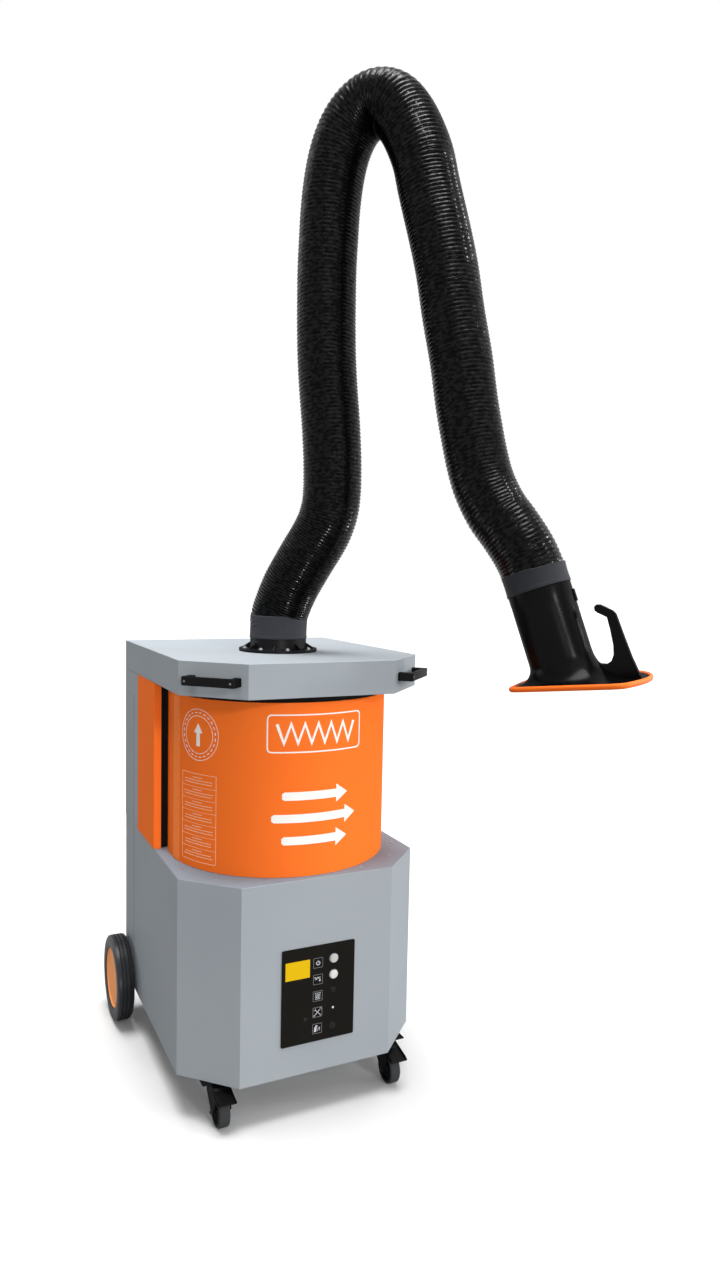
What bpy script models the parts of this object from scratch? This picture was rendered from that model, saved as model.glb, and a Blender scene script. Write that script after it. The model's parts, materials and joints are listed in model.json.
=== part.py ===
"""Mobile welding fume extractor: cabinet on wheels, filter drum, fan and a jointed suction arm.

Lengths are in metres. The cabinet frame has X to the right, Y to the back with 0 at the front edge
of the top casing, and Z up from the floor. The arm frame has its origin on the swivel axis at the
top of the casing: X runs out along the arm, Z up. The hood frame has its origin at the centre of the
collar's mouth, Z back along the neck. At the end the machine moves so that the middle of its
footprint's box is on the origin.
"""
import math

import bmesh
import bpy
from mathutils import Vector

# General
GAP = 0.0003
OVERRUN = 0.010
SHEET = 0.002
ROUND_SIDES = 28
SMALL_SIDES = 12
DRUM_SIDES = 48
BUTTON_SIDES = 20

# Cabinet
WIDTH = 0.655
DEPTH = 0.765
HEIGHT = 1.150
CORNER_WIDTH = 0.133
CORNER_DEPTH = 0.134
CASING_HEIGHT = 0.0855
CASING_SHEET = 0.003
CASING_INLET_RADIUS = 0.068
SHELF_LEVEL = 0.6113
GROUND_CLEARANCE = 0.112
BASE_SETBACK = 0.010
SIDE_SETBACK = 0.001
SEAM_DEPTH = 0.620
COLUMN_DEPTH = 0.590
CHEEK_DEPTH = 0.385
CHEEK_FLANGE = 0.020
FLOOR_SHEET = 0.002
ARM_DEPTH = 0.325
EXHAUST_SLOTS = 6
EXHAUST_SLOT_WIDTH = 0.200
EXHAUST_SLOT_HEIGHT = 0.008
EXHAUST_SLOT_PITCH = 0.020

# Inlet for the power cable in the back cover
GLAND_OUT = 0.200
GLAND_LEVEL = 0.200
GLAND_RADIUS = 0.012
GLAND_LENGTH = 0.022
GLAND_SPIGOT_RADIUS = 0.009
GLAND_BORE_RADIUS = 0.0045
GLAND_NUT_RADIUS = 0.013
GLAND_NUT_HEIGHT = 0.006

# Filter drum
DRUM_CLEARANCE = 0.031
DRUM_RADIUS = 0.5 * WIDTH - DRUM_CLEARANCE
SEAL_HEIGHT = 0.0165
DUCT_CLEARANCE = 0.0225
DRUM_WALL = 0.002
DRUM_MOUTH_RADIUS = 0.200
DRUM_OUTLET_RADIUS = 0.120
MEDIA_THICKNESS = 0.075
MEDIA_CLEARANCE = 0.006
SEAL_WIDTH = 0.022

# Fan
FAN_RADIUS = 0.185
FAN_HEIGHT = 0.130
FAN_SHEET = 0.003
FAN_INLET_RADIUS = 0.095
FAN_SHAFT_HOLE_RADIUS = 0.030
FAN_OUTLET_WIDTH = 0.220
FAN_OUTLET_HEIGHT = 0.110
FAN_OUTLET_CLEARANCE = 0.008
FAN_OUTLET_START = 0.148
IMPELLER_RADIUS = 0.160
IMPELLER_PLATE = 0.004
IMPELLER_HUB_RADIUS = 0.022
IMPELLER_HUB_HEIGHT = 0.045
IMPELLER_LIFT = 0.012
BLADES = 10
BLADE_LENGTH = 0.090
BLADE_HEIGHT = 0.070
BLADE_THICKNESS = 0.003
BLADE_RAKE = math.radians(30)
MOTOR_RADIUS = 0.075
MOTOR_HEIGHT = 0.170
SHAFT_RADIUS = 0.008
SHAFT_LENGTH = 0.045

# Control panel
PANEL_WIDTH = 0.197
PANEL_HEIGHT = 0.247
PANEL_LEVEL = 0.3155
PANEL_THICKNESS = 0.003
PANEL_CORNER = 0.010
PANEL_MARGIN = 0.010
BOX_DEPTH = 0.080
DISPLAY_WIDTH = 0.068
DISPLAY_HEIGHT = 0.050
DISPLAY_THICKNESS = 0.0015
DISPLAY_OUT = -0.055
DISPLAY_RISE = 0.067
BUTTON_OUT = 0.0424
BUTTON_RISES = (0.0825, 0.0405)
BEZEL_RADIUS = 0.0138
BEZEL_HEIGHT = 0.004
BUTTON_RADIUS = 0.0105
BUTTON_PROUD = 0.0075
BUTTON_TRAVEL = 0.003
STEM_RADIUS = 0.005
STEM_LENGTH = 0.018
LAMP_RADIUS = 0.004
LAMP_PROUD = 0.002
LAMP_RISE = -0.044

# Rear wheels
TYRE_RADIUS = 0.125
TYRE_WIDTH = 0.0495
TYRE_SHOULDER = 0.007
WHEEL_CLEARANCE = 0.0075
WHEEL_OUT = 0.5 * WIDTH + WHEEL_CLEARANCE + 0.5 * TYRE_WIDTH
WHEEL_DEPTH = 0.705
RIM_RADIUS = 0.088
RIM_WIDTH = 0.038
RIM_FLANGE = 0.008
RIM_WEB = 0.006
HUB_RADIUS = 0.028
HUB_OUTER = 0.02725
HUB_INNER = 0.030
AXLE_RADIUS = 0.010

# Front casters
CASTER_INSET = 0.0925
CASTER_OUT = 0.5 * WIDTH - CASTER_INSET
CASTER_DEPTH = 0.095
CASTER_TRAIL = 0.035
CASTER_RADIUS = 0.040
CASTER_WIDTH = 0.030
CASTER_TREAD = 0.003
CASTER_PLATE_WIDTH = 0.090
CASTER_PLATE_DEPTH = 0.066
CASTER_PLATE = 0.003
RACE_RADIUS = 0.026
RACE_HEIGHT = 0.008
FORK_HEAD = 0.004
FORK_HEAD_LENGTH = 0.044
FORK_CHEEK = 0.003
FORK_GAP = 0.0015
FORK_FOOT = 0.012
CASTER_AXLE_RADIUS = 0.004
PEDAL_THICKNESS = 0.003
PEDAL_PIN_RADIUS = 0.003
PEDAL_HINGE_DEPTH = 0.078
PEDAL_HINGE_LEVEL = 0.0925
PEDAL_SLOPE = math.radians(13)
PEDAL_TONGUE_WIDTH = 0.028
PEDAL_TONGUE_LENGTH = 0.034
PEDAL_WIDTH = 0.048
PEDAL_LENGTH = 0.078

# Handles on the casing's front corners
HANDLE_LENGTH = 0.150
HANDLE_STANDOFF = 0.040
HANDLE_BAR = 0.013
HANDLE_FOOT = 0.017
HANDLE_HEIGHT = 0.024
HANDLE_DROP = 0.047
HANDLE_EDGE = 0.002

# Arm flange, cuff and swivel
ARM_YAW = math.radians(-50)
FLANGE_RADIUS = 0.1066
FLANGE_HEIGHT = 0.008
FLANGE_TUBE_RADIUS = 0.0765
FLANGE_TUBE_HEIGHT = 0.035
FLANGE_BORE_RADIUS = 0.0695
GUSSETS = 8
GUSSET_THICKNESS = 0.004
GUSSET_LENGTH = 0.018
CUFF_RADIUS = 0.0785
CUFF_WALL = 0.0038
CUFF_HEIGHT = 0.063
SWIVEL_RING_RADIUS = 0.066
SWIVEL_RING_HEIGHT = 0.018

# Arm joints, in the arm frame: distance out and rise above the casing's top
SHOULDER = (0.150, 0.385)
ELBOW_LOW = (0.205, 1.368)
ELBOW_HIGH = (0.330, 1.366)
WRIST = (0.575, 0.440)
COLLAR = (0.699, 0.2375)
HOOD_TILT = math.radians(19.5)

# Arm frame inside the hose
LINK_RADIUS = 0.0125
EYE_RADIUS = 0.018
EYE_THICKNESS = 0.012
FORK_PLATE = 0.006
EYE_OVERLAP = 0.060
LINK_SETBACK = 0.035
BOLT_RADIUS = 0.005
BOLT_HEAD_RADIUS = 0.010
BOLT_HEAD_HEIGHT = 0.006
SPIDER_BAR = 0.012
SPIDER_HEIGHT = 0.0145
LOWER_KNEE_RISE = 1.220
UPPER_KNEE_RISE = 1.200
LOWER_KNEE_OUT = 0.152
UPPER_KNEE_OUT = 0.396

# Hose: ribs as two unlike radii, and how far each bend reaches from its pivot
HOSE_CREST_RADIUS = 0.0780
HOSE_ROOT_RADIUS = 0.0735
HOSE_BORE_RADIUS = 0.0700
RIB_PITCH = 0.034
SHOULDER_REACH = 0.100
ELBOW_REACH = 0.170
WRIST_REACH = 0.120
TRIM_WIDTH = 0.180
TRIM_DEPTH = 0.060
# Points of the hose between two pivots: share of the way, and sideways share of the hose's diameter
BASE_WAY_SHARES = ((0.28, -0.03), (0.50, 0.0), (0.75, 0.05))
LOWER_WAY_SHARES = (
    (0.08, 0.02), (0.24, -0.09), (0.55, -0.315), (0.78, -0.35), (0.87, -0.30), (0.945, -0.19))
ELBOW_WAY_SHARES = ((0.227, -0.129), (0.50, -0.1745), (0.773, -0.129))
UPPER_WAY_SHARES = (
    (0.06, -0.114), (0.145, -0.175), (0.265, -0.165), (0.44, -0.155), (0.67, -0.06), (0.855, 0.03))
WRIST_WAY_SHARES = ((0.29, 0.05), (0.52, 0.01), (0.75, -0.02))

# Suction hood, in the hood frame
COLLAR_CUFF_HEIGHT = 0.055
COLLAR_RING_HEIGHT = 0.020
NECK_RADIUS = 0.0762
NECK_SPIGOT_RADIUS = 0.0740
NECK_WALL = 0.003
NECK_LENGTH = 0.225
MOUTH_DROP = 0.2846
MOUTH_TILT = math.radians(12.2)
MOUTH_BACK = 0.124
MOUTH_FRONT = 0.197
MOUTH_SIDE = 0.1255
MOUTH_SIDE_TURN = math.radians(103.4)
MOUTH_CORNER = 0.2065
MOUTH_CORNER_TURN = math.radians(24.3)
MOUTH_ROUNDING = 14
RIM_TUBE_RADIUS = 0.0065
LIP_HEIGHT = 0.009
FLARE_STEPS = 3
MOUTH_SIDES = 28
HOOK_WIDTH = 0.022
# Outline of the hook handle: distance out and drop below the collar, as shares of the mouth's drop
HOOK_SHARES = (
    (0.235, -0.80), (0.290, -0.905), (0.339, -0.938), (0.395, -0.930), (0.432, -0.897), (0.456, -0.775),
    (0.457, -0.604), (0.400, -0.532), (0.411, -0.483), (0.515, -0.587), (0.524, -0.795),
    (0.530, -0.969), (0.545, -1.083), (0.540, -1.150), (0.235, -1.050))
FLAP_DROP = 0.092
FLAP_RADIUS = 0.064
FLAP_THICKNESS = 0.002
SPINDLE_RADIUS = 0.004
LEVER_WIDTH = 0.010
LEVER_LENGTH = 0.030
LEVER_THICKNESS = 0.006

for left_over in list(bpy.data.objects):
    bpy.data.objects.remove(left_over, do_unlink=True)

PARTS = bpy.data.collections.new("fume_extractor")
CUTTERS = bpy.data.collections.new("cutters")
bpy.context.scene.collection.children.link(PARTS)
bpy.context.scene.collection.children.link(CUTTERS)
HOMES = {}


def finish_of(name, colour, roughness, metallic=0.0):
    """A plain Principled material."""
    made = bpy.data.materials.new(name)
    made.use_nodes = True
    shader = made.node_tree.nodes["Principled BSDF"]
    shader.inputs["Base Color"].default_value = (*colour, 1.0)
    shader.inputs["Roughness"].default_value = roughness
    shader.inputs["Metallic"].default_value = metallic
    return made


GREY_PAINT = finish_of("grey_paint", (0.36, 0.39, 0.43), 0.45, 0.2)
ORANGE_PAINT = finish_of("orange_paint", (0.85, 0.20, 0.03), 0.45)
ORANGE_RUBBER = finish_of("orange_rubber", (0.80, 0.16, 0.03), 0.55)
BLACK_PLASTIC = finish_of("black_plastic", (0.02, 0.02, 0.022), 0.40)
BLACK_RUBBER = finish_of("black_rubber", (0.015, 0.015, 0.016), 0.80)
HOSE_BLACK = finish_of("hose_black", (0.012, 0.012, 0.014), 0.30)
CUFF_GREY = finish_of("cuff_grey", (0.09, 0.09, 0.095), 0.65)
BARE_STEEL = finish_of("bare_steel", (0.55, 0.56, 0.57), 0.35, 1.0)
ZINC_SHEET = finish_of("zinc_sheet", (0.60, 0.61, 0.60), 0.50, 0.9)
FILTER_CLOTH = finish_of("filter_cloth", (0.80, 0.79, 0.74), 0.90)
FOAM_BLACK = finish_of("foam_black", (0.02, 0.02, 0.02), 0.95)
PANEL_BLACK = finish_of("panel_black", (0.012, 0.012, 0.013), 0.30)
BUTTON_GREY = finish_of("button_grey", (0.62, 0.63, 0.62), 0.40)
DISPLAY_YELLOW = finish_of("display_yellow", (0.90, 0.68, 0.03), 0.40)


def pivot(name, parent, at, turn=(0.0, 0.0, 0.0), home=None):
    """An empty on a joint's axis; home is its place in the frame that its children use."""
    empty = bpy.data.objects.new(name, None)
    PARTS.objects.link(empty)
    empty.parent = parent
    empty.location = Vector(at) - (HOMES[parent.name] if parent else Vector())
    empty.rotation_euler = turn
    HOMES[name] = Vector(at if home is None else home)
    return empty


def part(name, data, skin, parent, at=(0.0, 0.0, 0.0), turn=(0.0, 0.0, 0.0)):
    """One named piece, placed in the frame of its parent."""
    made = bpy.data.objects.new(name, data)
    PARTS.objects.link(made)
    made.parent = parent
    made.location = Vector(at) - HOMES[parent.name]
    made.rotation_euler = turn
    made.data.materials.append(skin)
    return made


def tool(data, parent, at=(0.0, 0.0, 0.0), turn=(0.0, 0.0, 0.0)):
    """A shape that cuts or joins a piece and is not a piece itself."""
    made = bpy.data.objects.new("tool", data)
    CUTTERS.objects.link(made)
    made.parent = parent
    made.location = Vector(at) - HOMES[parent.name]
    made.rotation_euler = turn
    made.hide_render = True
    made.display_type = "WIRE"
    return made


def solid(thing):
    """The mesh of a curve object, welded, in the curve's place."""
    bpy.context.view_layer.update()
    graph = bpy.context.evaluated_depsgraph_get()
    mesh = bpy.data.meshes.new_from_object(thing.evaluated_get(graph))
    work = bmesh.new()
    work.from_mesh(mesh)
    bmesh.ops.remove_doubles(work, verts=work.verts, dist=0.01 * GAP)
    work.to_mesh(mesh)
    work.free()
    name = thing.name
    made = bpy.data.objects.new(name, mesh)
    for group in thing.users_collection:
        group.objects.link(made)
    made.parent = thing.parent
    made.matrix_world = thing.matrix_world.copy()
    made.hide_render = thing.hide_render
    made.display_type = thing.display_type
    bpy.data.objects.remove(thing, do_unlink=True)
    made.name = name
    return made


def combine(thing, other, operation):
    change = thing.modifiers.new(operation.lower(), "BOOLEAN")
    change.operation = operation
    change.solver = "EXACT"
    change.object = other
    return thing


def cut(thing, *others):
    for other in others:
        combine(thing, other, "DIFFERENCE")
    return thing


def join(thing, *others):
    for other in others:
        combine(thing, other, "UNION")
    return thing


def round_edges(thing, width):
    bevel = thing.modifiers.new("edges", "BEVEL")
    bevel.width = width
    bevel.segments = 2
    bevel.limit_method = "ANGLE"
    bevel.angle_limit = math.radians(40)
    return thing


def smooth(mesh):
    mesh.shade_smooth()
    mesh.set_sharp_from_angle(angle=math.radians(40))
    return mesh


def box(size):
    work = bmesh.new()
    bmesh.ops.create_cube(work, size=1.0)
    bmesh.ops.scale(work, vec=size, verts=work.verts)
    mesh = bpy.data.meshes.new("box")
    work.to_mesh(mesh)
    work.free()
    return mesh


def rod(radius, length, sides=SMALL_SIDES):
    """A cylinder about Z, centred on the origin."""
    work = bmesh.new()
    bmesh.ops.create_cone(
        work, cap_ends=True, segments=sides, radius1=radius, radius2=radius, depth=length)
    mesh = bpy.data.meshes.new("rod")
    work.to_mesh(mesh)
    work.free()
    return smooth(mesh)


def profile(points, closed=True):
    """An outline at +X, down its outer side, for turning about Z; an open one ends on the axis."""
    work = bmesh.new()
    corners = [work.verts.new((radius, 0.0, level)) for radius, level in points]
    for here, there in zip(corners, corners[1:] + (corners[:1] if closed else [])):
        work.edges.new((here, there))
    mesh = bpy.data.meshes.new("profile")
    work.to_mesh(mesh)
    work.free()
    return mesh


def turned(thing, sides=ROUND_SIDES):
    """Turns a profile into a ring."""
    screw = thing.modifiers.new("turn", "SCREW")
    screw.steps = sides
    screw.render_steps = sides
    screw.use_merge_vertices = True
    screw.merge_threshold = 0.01 * GAP
    screw.use_smooth_shade = False
    return thing


def tube_profile(outer, inner, low, high):
    return profile(((outer, high), (outer, low), (inner, low), (inner, high)))


def flat(outline, thickness):
    """A flat outline in XY with a thickness along Z, as a curve."""
    curve = bpy.data.curves.new("flat", "CURVE")
    curve.dimensions = "2D"
    curve.fill_mode = "BOTH"
    curve.extrude = 0.5 * thickness
    spline = curve.splines.new("POLY")
    spline.points.add(len(outline) - 1)
    for point, place in zip(spline.points, outline):
        point.co = (place[0], place[1], 0.0, 1.0)
    spline.use_cyclic_u = True
    return curve


def wire(places, radius, shares=None, closed=False):
    """A tube through the places; shares scale its radius point by point."""
    curve = bpy.data.curves.new("wire", "CURVE")
    curve.dimensions = "3D"
    curve.bevel_depth = radius
    curve.bevel_resolution = 2
    curve.use_fill_caps = not closed
    spline = curve.splines.new("POLY")
    spline.points.add(len(places) - 1)
    for index, place in enumerate(places):
        spline.points[index].co = (*place, 1.0)
        spline.points[index].radius = shares[index] if shares else 1.0
    spline.use_cyclic_u = closed
    return curve


def wall(corners, low, high):
    """An open upright sheet along the corners; its face looks to the right of the way it runs."""
    work = bmesh.new()
    feet = [work.verts.new((x, y, low)) for x, y in corners]
    edges = [work.edges.new(pair) for pair in zip(feet, feet[1:])]
    grown = bmesh.ops.extrude_edge_only(work, edges=edges)["geom"]
    tops = [piece for piece in grown if isinstance(piece, bmesh.types.BMVert)]
    bmesh.ops.translate(work, verts=tops, vec=(0.0, 0.0, high - low))
    work.faces.ensure_lookup_table()
    way = Vector(corners[1]) - Vector(corners[0])
    work.normal_update()
    first = min(work.faces, key=lambda face: (face.calc_center_median().xy - Vector(corners[0])).length)
    if first.normal.xy.dot(Vector((way.y, -way.x))) < 0.0:
        bmesh.ops.reverse_faces(work, faces=work.faces)
    mesh = bpy.data.meshes.new("wall")
    work.to_mesh(mesh)
    work.free()
    return mesh


def thicken(thing, thickness):
    """Gives an open sheet its thickness, behind its face."""
    sheet = thing.modifiers.new("sheet", "SOLIDIFY")
    sheet.thickness = thickness
    sheet.offset = -1.0
    sheet.use_even_offset = True
    return thing


def plan(inset=0.0, setback=0.0):
    """The cabinet's plan with its cut front corners, inset all round and set back at the front."""
    side = 0.5 * WIDTH - inset
    near = inset + setback
    length = math.hypot(CORNER_WIDTH, CORNER_DEPTH)
    reach = (0.5 * WIDTH * CORNER_DEPTH - CORNER_DEPTH * CORNER_WIDTH) / length - inset
    turn = (side * CORNER_DEPTH - reach * length) / CORNER_WIDTH
    corner = (reach * length + near * CORNER_WIDTH) / CORNER_DEPTH
    back = DEPTH - inset
    return (
        (-side, back), (-side, turn), (-corner, near), (corner, near), (side, turn), (side, back))


def mirrored(side, points):
    """The points as given for side 1, or mirrored and in reverse order for side -1."""
    return points if side > 0 else tuple((-x, y) for x, y in reversed(points))


machine = pivot("machine", None, (0.0, 0.0, 0.0))

SIDES = (("left", -1), ("right", 1))


def cabinet_walls():
    """Base shell, shelf, floor, back cover, upper column, side cheeks and the wall behind the drum."""
    half = 0.5 * WIDTH - SIDE_SETBACK
    front = plan(SIDE_SETBACK, BASE_SETBACK - SIDE_SETBACK)
    corners = ((-half, SEAM_DEPTH), *front[1:5], (half, SEAM_DEPTH))
    base = thicken(part("base_shell", wall(corners, GROUND_CLEARANCE, SHELF_LEVEL), GREY_PAINT, machine), SHEET)
    opening = box((PANEL_WIDTH - 2 * PANEL_MARGIN, 2 * OVERRUN, PANEL_HEIGHT - 2 * PANEL_MARGIN))
    cut(base, tool(opening, machine, (0.0, BASE_SETBACK, PANEL_LEVEL)))

    inner = plan(SIDE_SETBACK + SHEET + GAP, BASE_SETBACK - SIDE_SETBACK)
    shelf = solid(part(
        "base_shelf", flat(inner, SHEET), GREY_PAINT, machine, (0.0, 0.0, SHELF_LEVEL - 0.5 * SHEET)))
    cut(shelf, tool(rod(FAN_INLET_RADIUS, 4 * OVERRUN, ROUND_SIDES), machine, (0.0, ARM_DEPTH, SHELF_LEVEL)))
    solid(part("base_floor", flat(inner, FLOOR_SHEET), GREY_PAINT, machine,
               (0.0, 0.0, GROUND_CLEARANCE + 0.5 * FLOOR_SHEET)))

    seam = SEAM_DEPTH + GAP
    corners = ((half, seam), (half, DEPTH - SIDE_SETBACK), (-half, DEPTH - SIDE_SETBACK), (-half, seam))
    back = thicken(part("back_cover", wall(corners, GROUND_CLEARANCE, SHELF_LEVEL), GREY_PAINT, machine), SHEET)
    slot = box((EXHAUST_SLOT_WIDTH, 4 * OVERRUN, EXHAUST_SLOT_HEIGHT))
    outlet = SHELF_LEVEL - SHEET - GAP - 0.5 * FAN_HEIGHT
    for index in range(EXHAUST_SLOTS):
        level = outlet - (index - 0.5 * (EXHAUST_SLOTS - 1)) * EXHAUST_SLOT_PITCH
        cut(back, tool(slot, machine, (0.0, DEPTH, level)))
    axle_hole = rod(AXLE_RADIUS + GAP, WIDTH + 2 * OVERRUN, SMALL_SIDES)
    cut(back, tool(axle_hole, machine, (0.0, WHEEL_DEPTH, TYRE_RADIUS), (0.0, 0.5 * math.pi, 0.0)))

    seat = (GLAND_OUT, DEPTH - SIDE_SETBACK, GLAND_LEVEL)
    outwards = (-0.5 * math.pi, 0.0, 0.0)
    cut(back, tool(rod(GLAND_SPIGOT_RADIUS + GAP, 4 * OVERRUN, BUTTON_SIDES), machine, seat, outwards))
    nut = -SHEET - GAP
    gland = profile((
        (GLAND_RADIUS, GLAND_LENGTH), (GLAND_RADIUS, GAP), (GLAND_SPIGOT_RADIUS, GAP),
        (GLAND_SPIGOT_RADIUS, nut), (GLAND_NUT_RADIUS, nut), (GLAND_NUT_RADIUS, nut - GLAND_NUT_HEIGHT),
        (GLAND_BORE_RADIUS, nut - GLAND_NUT_HEIGHT), (GLAND_BORE_RADIUS, GLAND_LENGTH)))
    turned(part("cable_gland", gland, BLACK_PLASTIC, machine, seat, outwards), BUTTON_SIDES)

    low = SHELF_LEVEL + GAP
    high = HEIGHT - CASING_HEIGHT - GAP
    outer = 0.5 * WIDTH
    corners = ((outer, COLUMN_DEPTH), (outer, DEPTH), (-outer, DEPTH), (-outer, COLUMN_DEPTH))
    thicken(part("rear_column", wall(corners, low, high), GREY_PAINT, machine), SHEET)
    seam = COLUMN_DEPTH - GAP
    cheek = ((outer - CHEEK_FLANGE, CHEEK_DEPTH), (outer, CHEEK_DEPTH), (outer, seam))
    for side_name, side in SIDES:
        mesh = wall(mirrored(side, cheek), low, high)
        thicken(part("cheek_" + side_name, mesh, ORANGE_PAINT, machine), SHEET)
    width = WIDTH - 2 * (SHEET + GAP)
    part("duct_wall", box((width, SHEET, high - low)), BLACK_PLASTIC, machine,
         (0.0, ARM_DEPTH + DRUM_RADIUS + DUCT_CLEARANCE + 0.5 * SHEET, 0.5 * (low + high)))


def top_casing():
    """The casing on top: a hollow box that leads the air from the arm down into the drum."""
    middle = HEIGHT - 0.5 * CASING_HEIGHT
    casing = solid(part("top_casing", flat(plan(), CASING_HEIGHT), GREY_PAINT, machine, (0.0, 0.0, middle)))
    hollow = flat(plan(CASING_SHEET), CASING_HEIGHT - 2 * CASING_SHEET)
    mouth = rod(DRUM_MOUTH_RADIUS, 4 * CASING_SHEET, ROUND_SIDES)
    inlet = rod(CASING_INLET_RADIUS, 4 * CASING_SHEET, ROUND_SIDES)
    cut(casing, solid(tool(hollow, machine, (0.0, 0.0, middle))),
        tool(mouth, machine, (0.0, ARM_DEPTH, HEIGHT - CASING_HEIGHT)),
        tool(inlet, machine, (0.0, ARM_DEPTH, HEIGHT)))


def filter_drum():
    """Drum shell with its end plates, the filter medium inside and the seal under the casing."""
    low = SHELF_LEVEL + GAP
    high = HEIGHT - CASING_HEIGHT - SEAL_HEIGHT
    shell = profile((
        (DRUM_RADIUS, high), (DRUM_RADIUS, low), (DRUM_OUTLET_RADIUS, low),
        (DRUM_OUTLET_RADIUS, low + DRUM_WALL), (DRUM_RADIUS - DRUM_WALL, low + DRUM_WALL),
        (DRUM_RADIUS - DRUM_WALL, high - DRUM_WALL), (DRUM_MOUTH_RADIUS, high - DRUM_WALL),
        (DRUM_MOUTH_RADIUS, high)))
    turned(part("filter_drum", shell, ORANGE_PAINT, machine, (0.0, ARM_DEPTH, 0.0)), DRUM_SIDES)
    outer = DRUM_RADIUS - DRUM_WALL - MEDIA_CLEARANCE
    media = tube_profile(outer, outer - MEDIA_THICKNESS, low + DRUM_WALL + GAP, high - DRUM_WALL - GAP)
    turned(part("filter_medium", media, FILTER_CLOTH, machine, (0.0, ARM_DEPTH, 0.0)))
    outer = DRUM_RADIUS - MEDIA_CLEARANCE
    seal = tube_profile(outer, outer - SEAL_WIDTH, high + GAP, HEIGHT - CASING_HEIGHT - GAP)
    turned(part("drum_seal", seal, FOAM_BLACK, machine, (0.0, ARM_DEPTH, 0.0)))


def fan():
    """Fan casing under the shelf, its wheel and the motor that hangs below."""
    top = SHELF_LEVEL - SHEET - GAP
    low = top - FAN_HEIGHT
    centre = (0.0, ARM_DEPTH, 0.0)
    shell = profile((
        (FAN_RADIUS, top), (FAN_RADIUS, low), (FAN_SHAFT_HOLE_RADIUS, low),
        (FAN_SHAFT_HOLE_RADIUS, low + FAN_SHEET), (FAN_RADIUS - FAN_SHEET, low + FAN_SHEET),
        (FAN_RADIUS - FAN_SHEET, top - FAN_SHEET), (FAN_INLET_RADIUS, top - FAN_SHEET),
        (FAN_INLET_RADIUS, top)))
    casing = turned(part("fan_casing", shell, ZINC_SHEET, machine, centre))
    start = ARM_DEPTH + FAN_OUTLET_START
    end = DEPTH - SIDE_SETBACK - SHEET - FAN_OUTLET_CLEARANCE
    middle = (0.0, 0.5 * (start + end), 0.5 * (top + low))
    duct = box((FAN_OUTLET_WIDTH, end - start, FAN_OUTLET_HEIGHT))
    way = box((
        FAN_OUTLET_WIDTH - 2 * FAN_SHEET, end - start + 2 * OVERRUN, FAN_OUTLET_HEIGHT - 2 * FAN_SHEET))
    join(casing, tool(duct, machine, middle))
    cut(casing, tool(way, machine, middle))

    level = low + FAN_SHEET + IMPELLER_LIFT
    spin = pivot("axis_fan", machine, (0.0, ARM_DEPTH, level))
    wheel = profile((
        (IMPELLER_HUB_RADIUS, IMPELLER_HUB_HEIGHT), (IMPELLER_HUB_RADIUS, IMPELLER_PLATE),
        (IMPELLER_RADIUS, IMPELLER_PLATE), (IMPELLER_RADIUS, 0.0), (SHAFT_RADIUS + GAP, 0.0),
        (SHAFT_RADIUS + GAP, IMPELLER_HUB_HEIGHT)))
    wheel = turned(part("impeller", wheel, ZINC_SHEET, spin, (0.0, ARM_DEPTH, level)))
    reach = IMPELLER_RADIUS - 0.5 * BLADE_LENGTH
    for index in range(BLADES):
        angle = 2 * math.pi * index / BLADES
        place = (reach * math.cos(angle), ARM_DEPTH + reach * math.sin(angle),
                 level + 0.5 * (IMPELLER_PLATE + BLADE_HEIGHT))
        blade = box((BLADE_LENGTH, BLADE_THICKNESS, BLADE_HEIGHT))
        join(wheel, tool(blade, spin, place, (0.0, 0.0, angle + BLADE_RAKE)))

    seat = low - GAP
    shaft = seat + SHAFT_LENGTH
    motor = profile((
        (0.0, shaft), (SHAFT_RADIUS, shaft), (SHAFT_RADIUS, seat), (MOTOR_RADIUS, seat),
        (MOTOR_RADIUS, seat - MOTOR_HEIGHT), (0.0, seat - MOTOR_HEIGHT)), closed=False)
    turned(part("fan_motor", motor, BARE_STEEL, machine, centre))


def rounded_rectangle(width, height, radius, steps=4):
    """Corner arcs of a rectangle, counterclockwise."""
    points = []
    for corner in range(4):
        out = (1, -1, -1, 1)[corner] * (0.5 * width - radius)
        rise = (1, 1, -1, -1)[corner] * (0.5 * height - radius)
        for step in range(steps + 1):
            angle = 0.5 * math.pi * (corner + step / steps)
            points.append((out + radius * math.cos(angle), rise + radius * math.sin(angle)))
    return points


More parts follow.
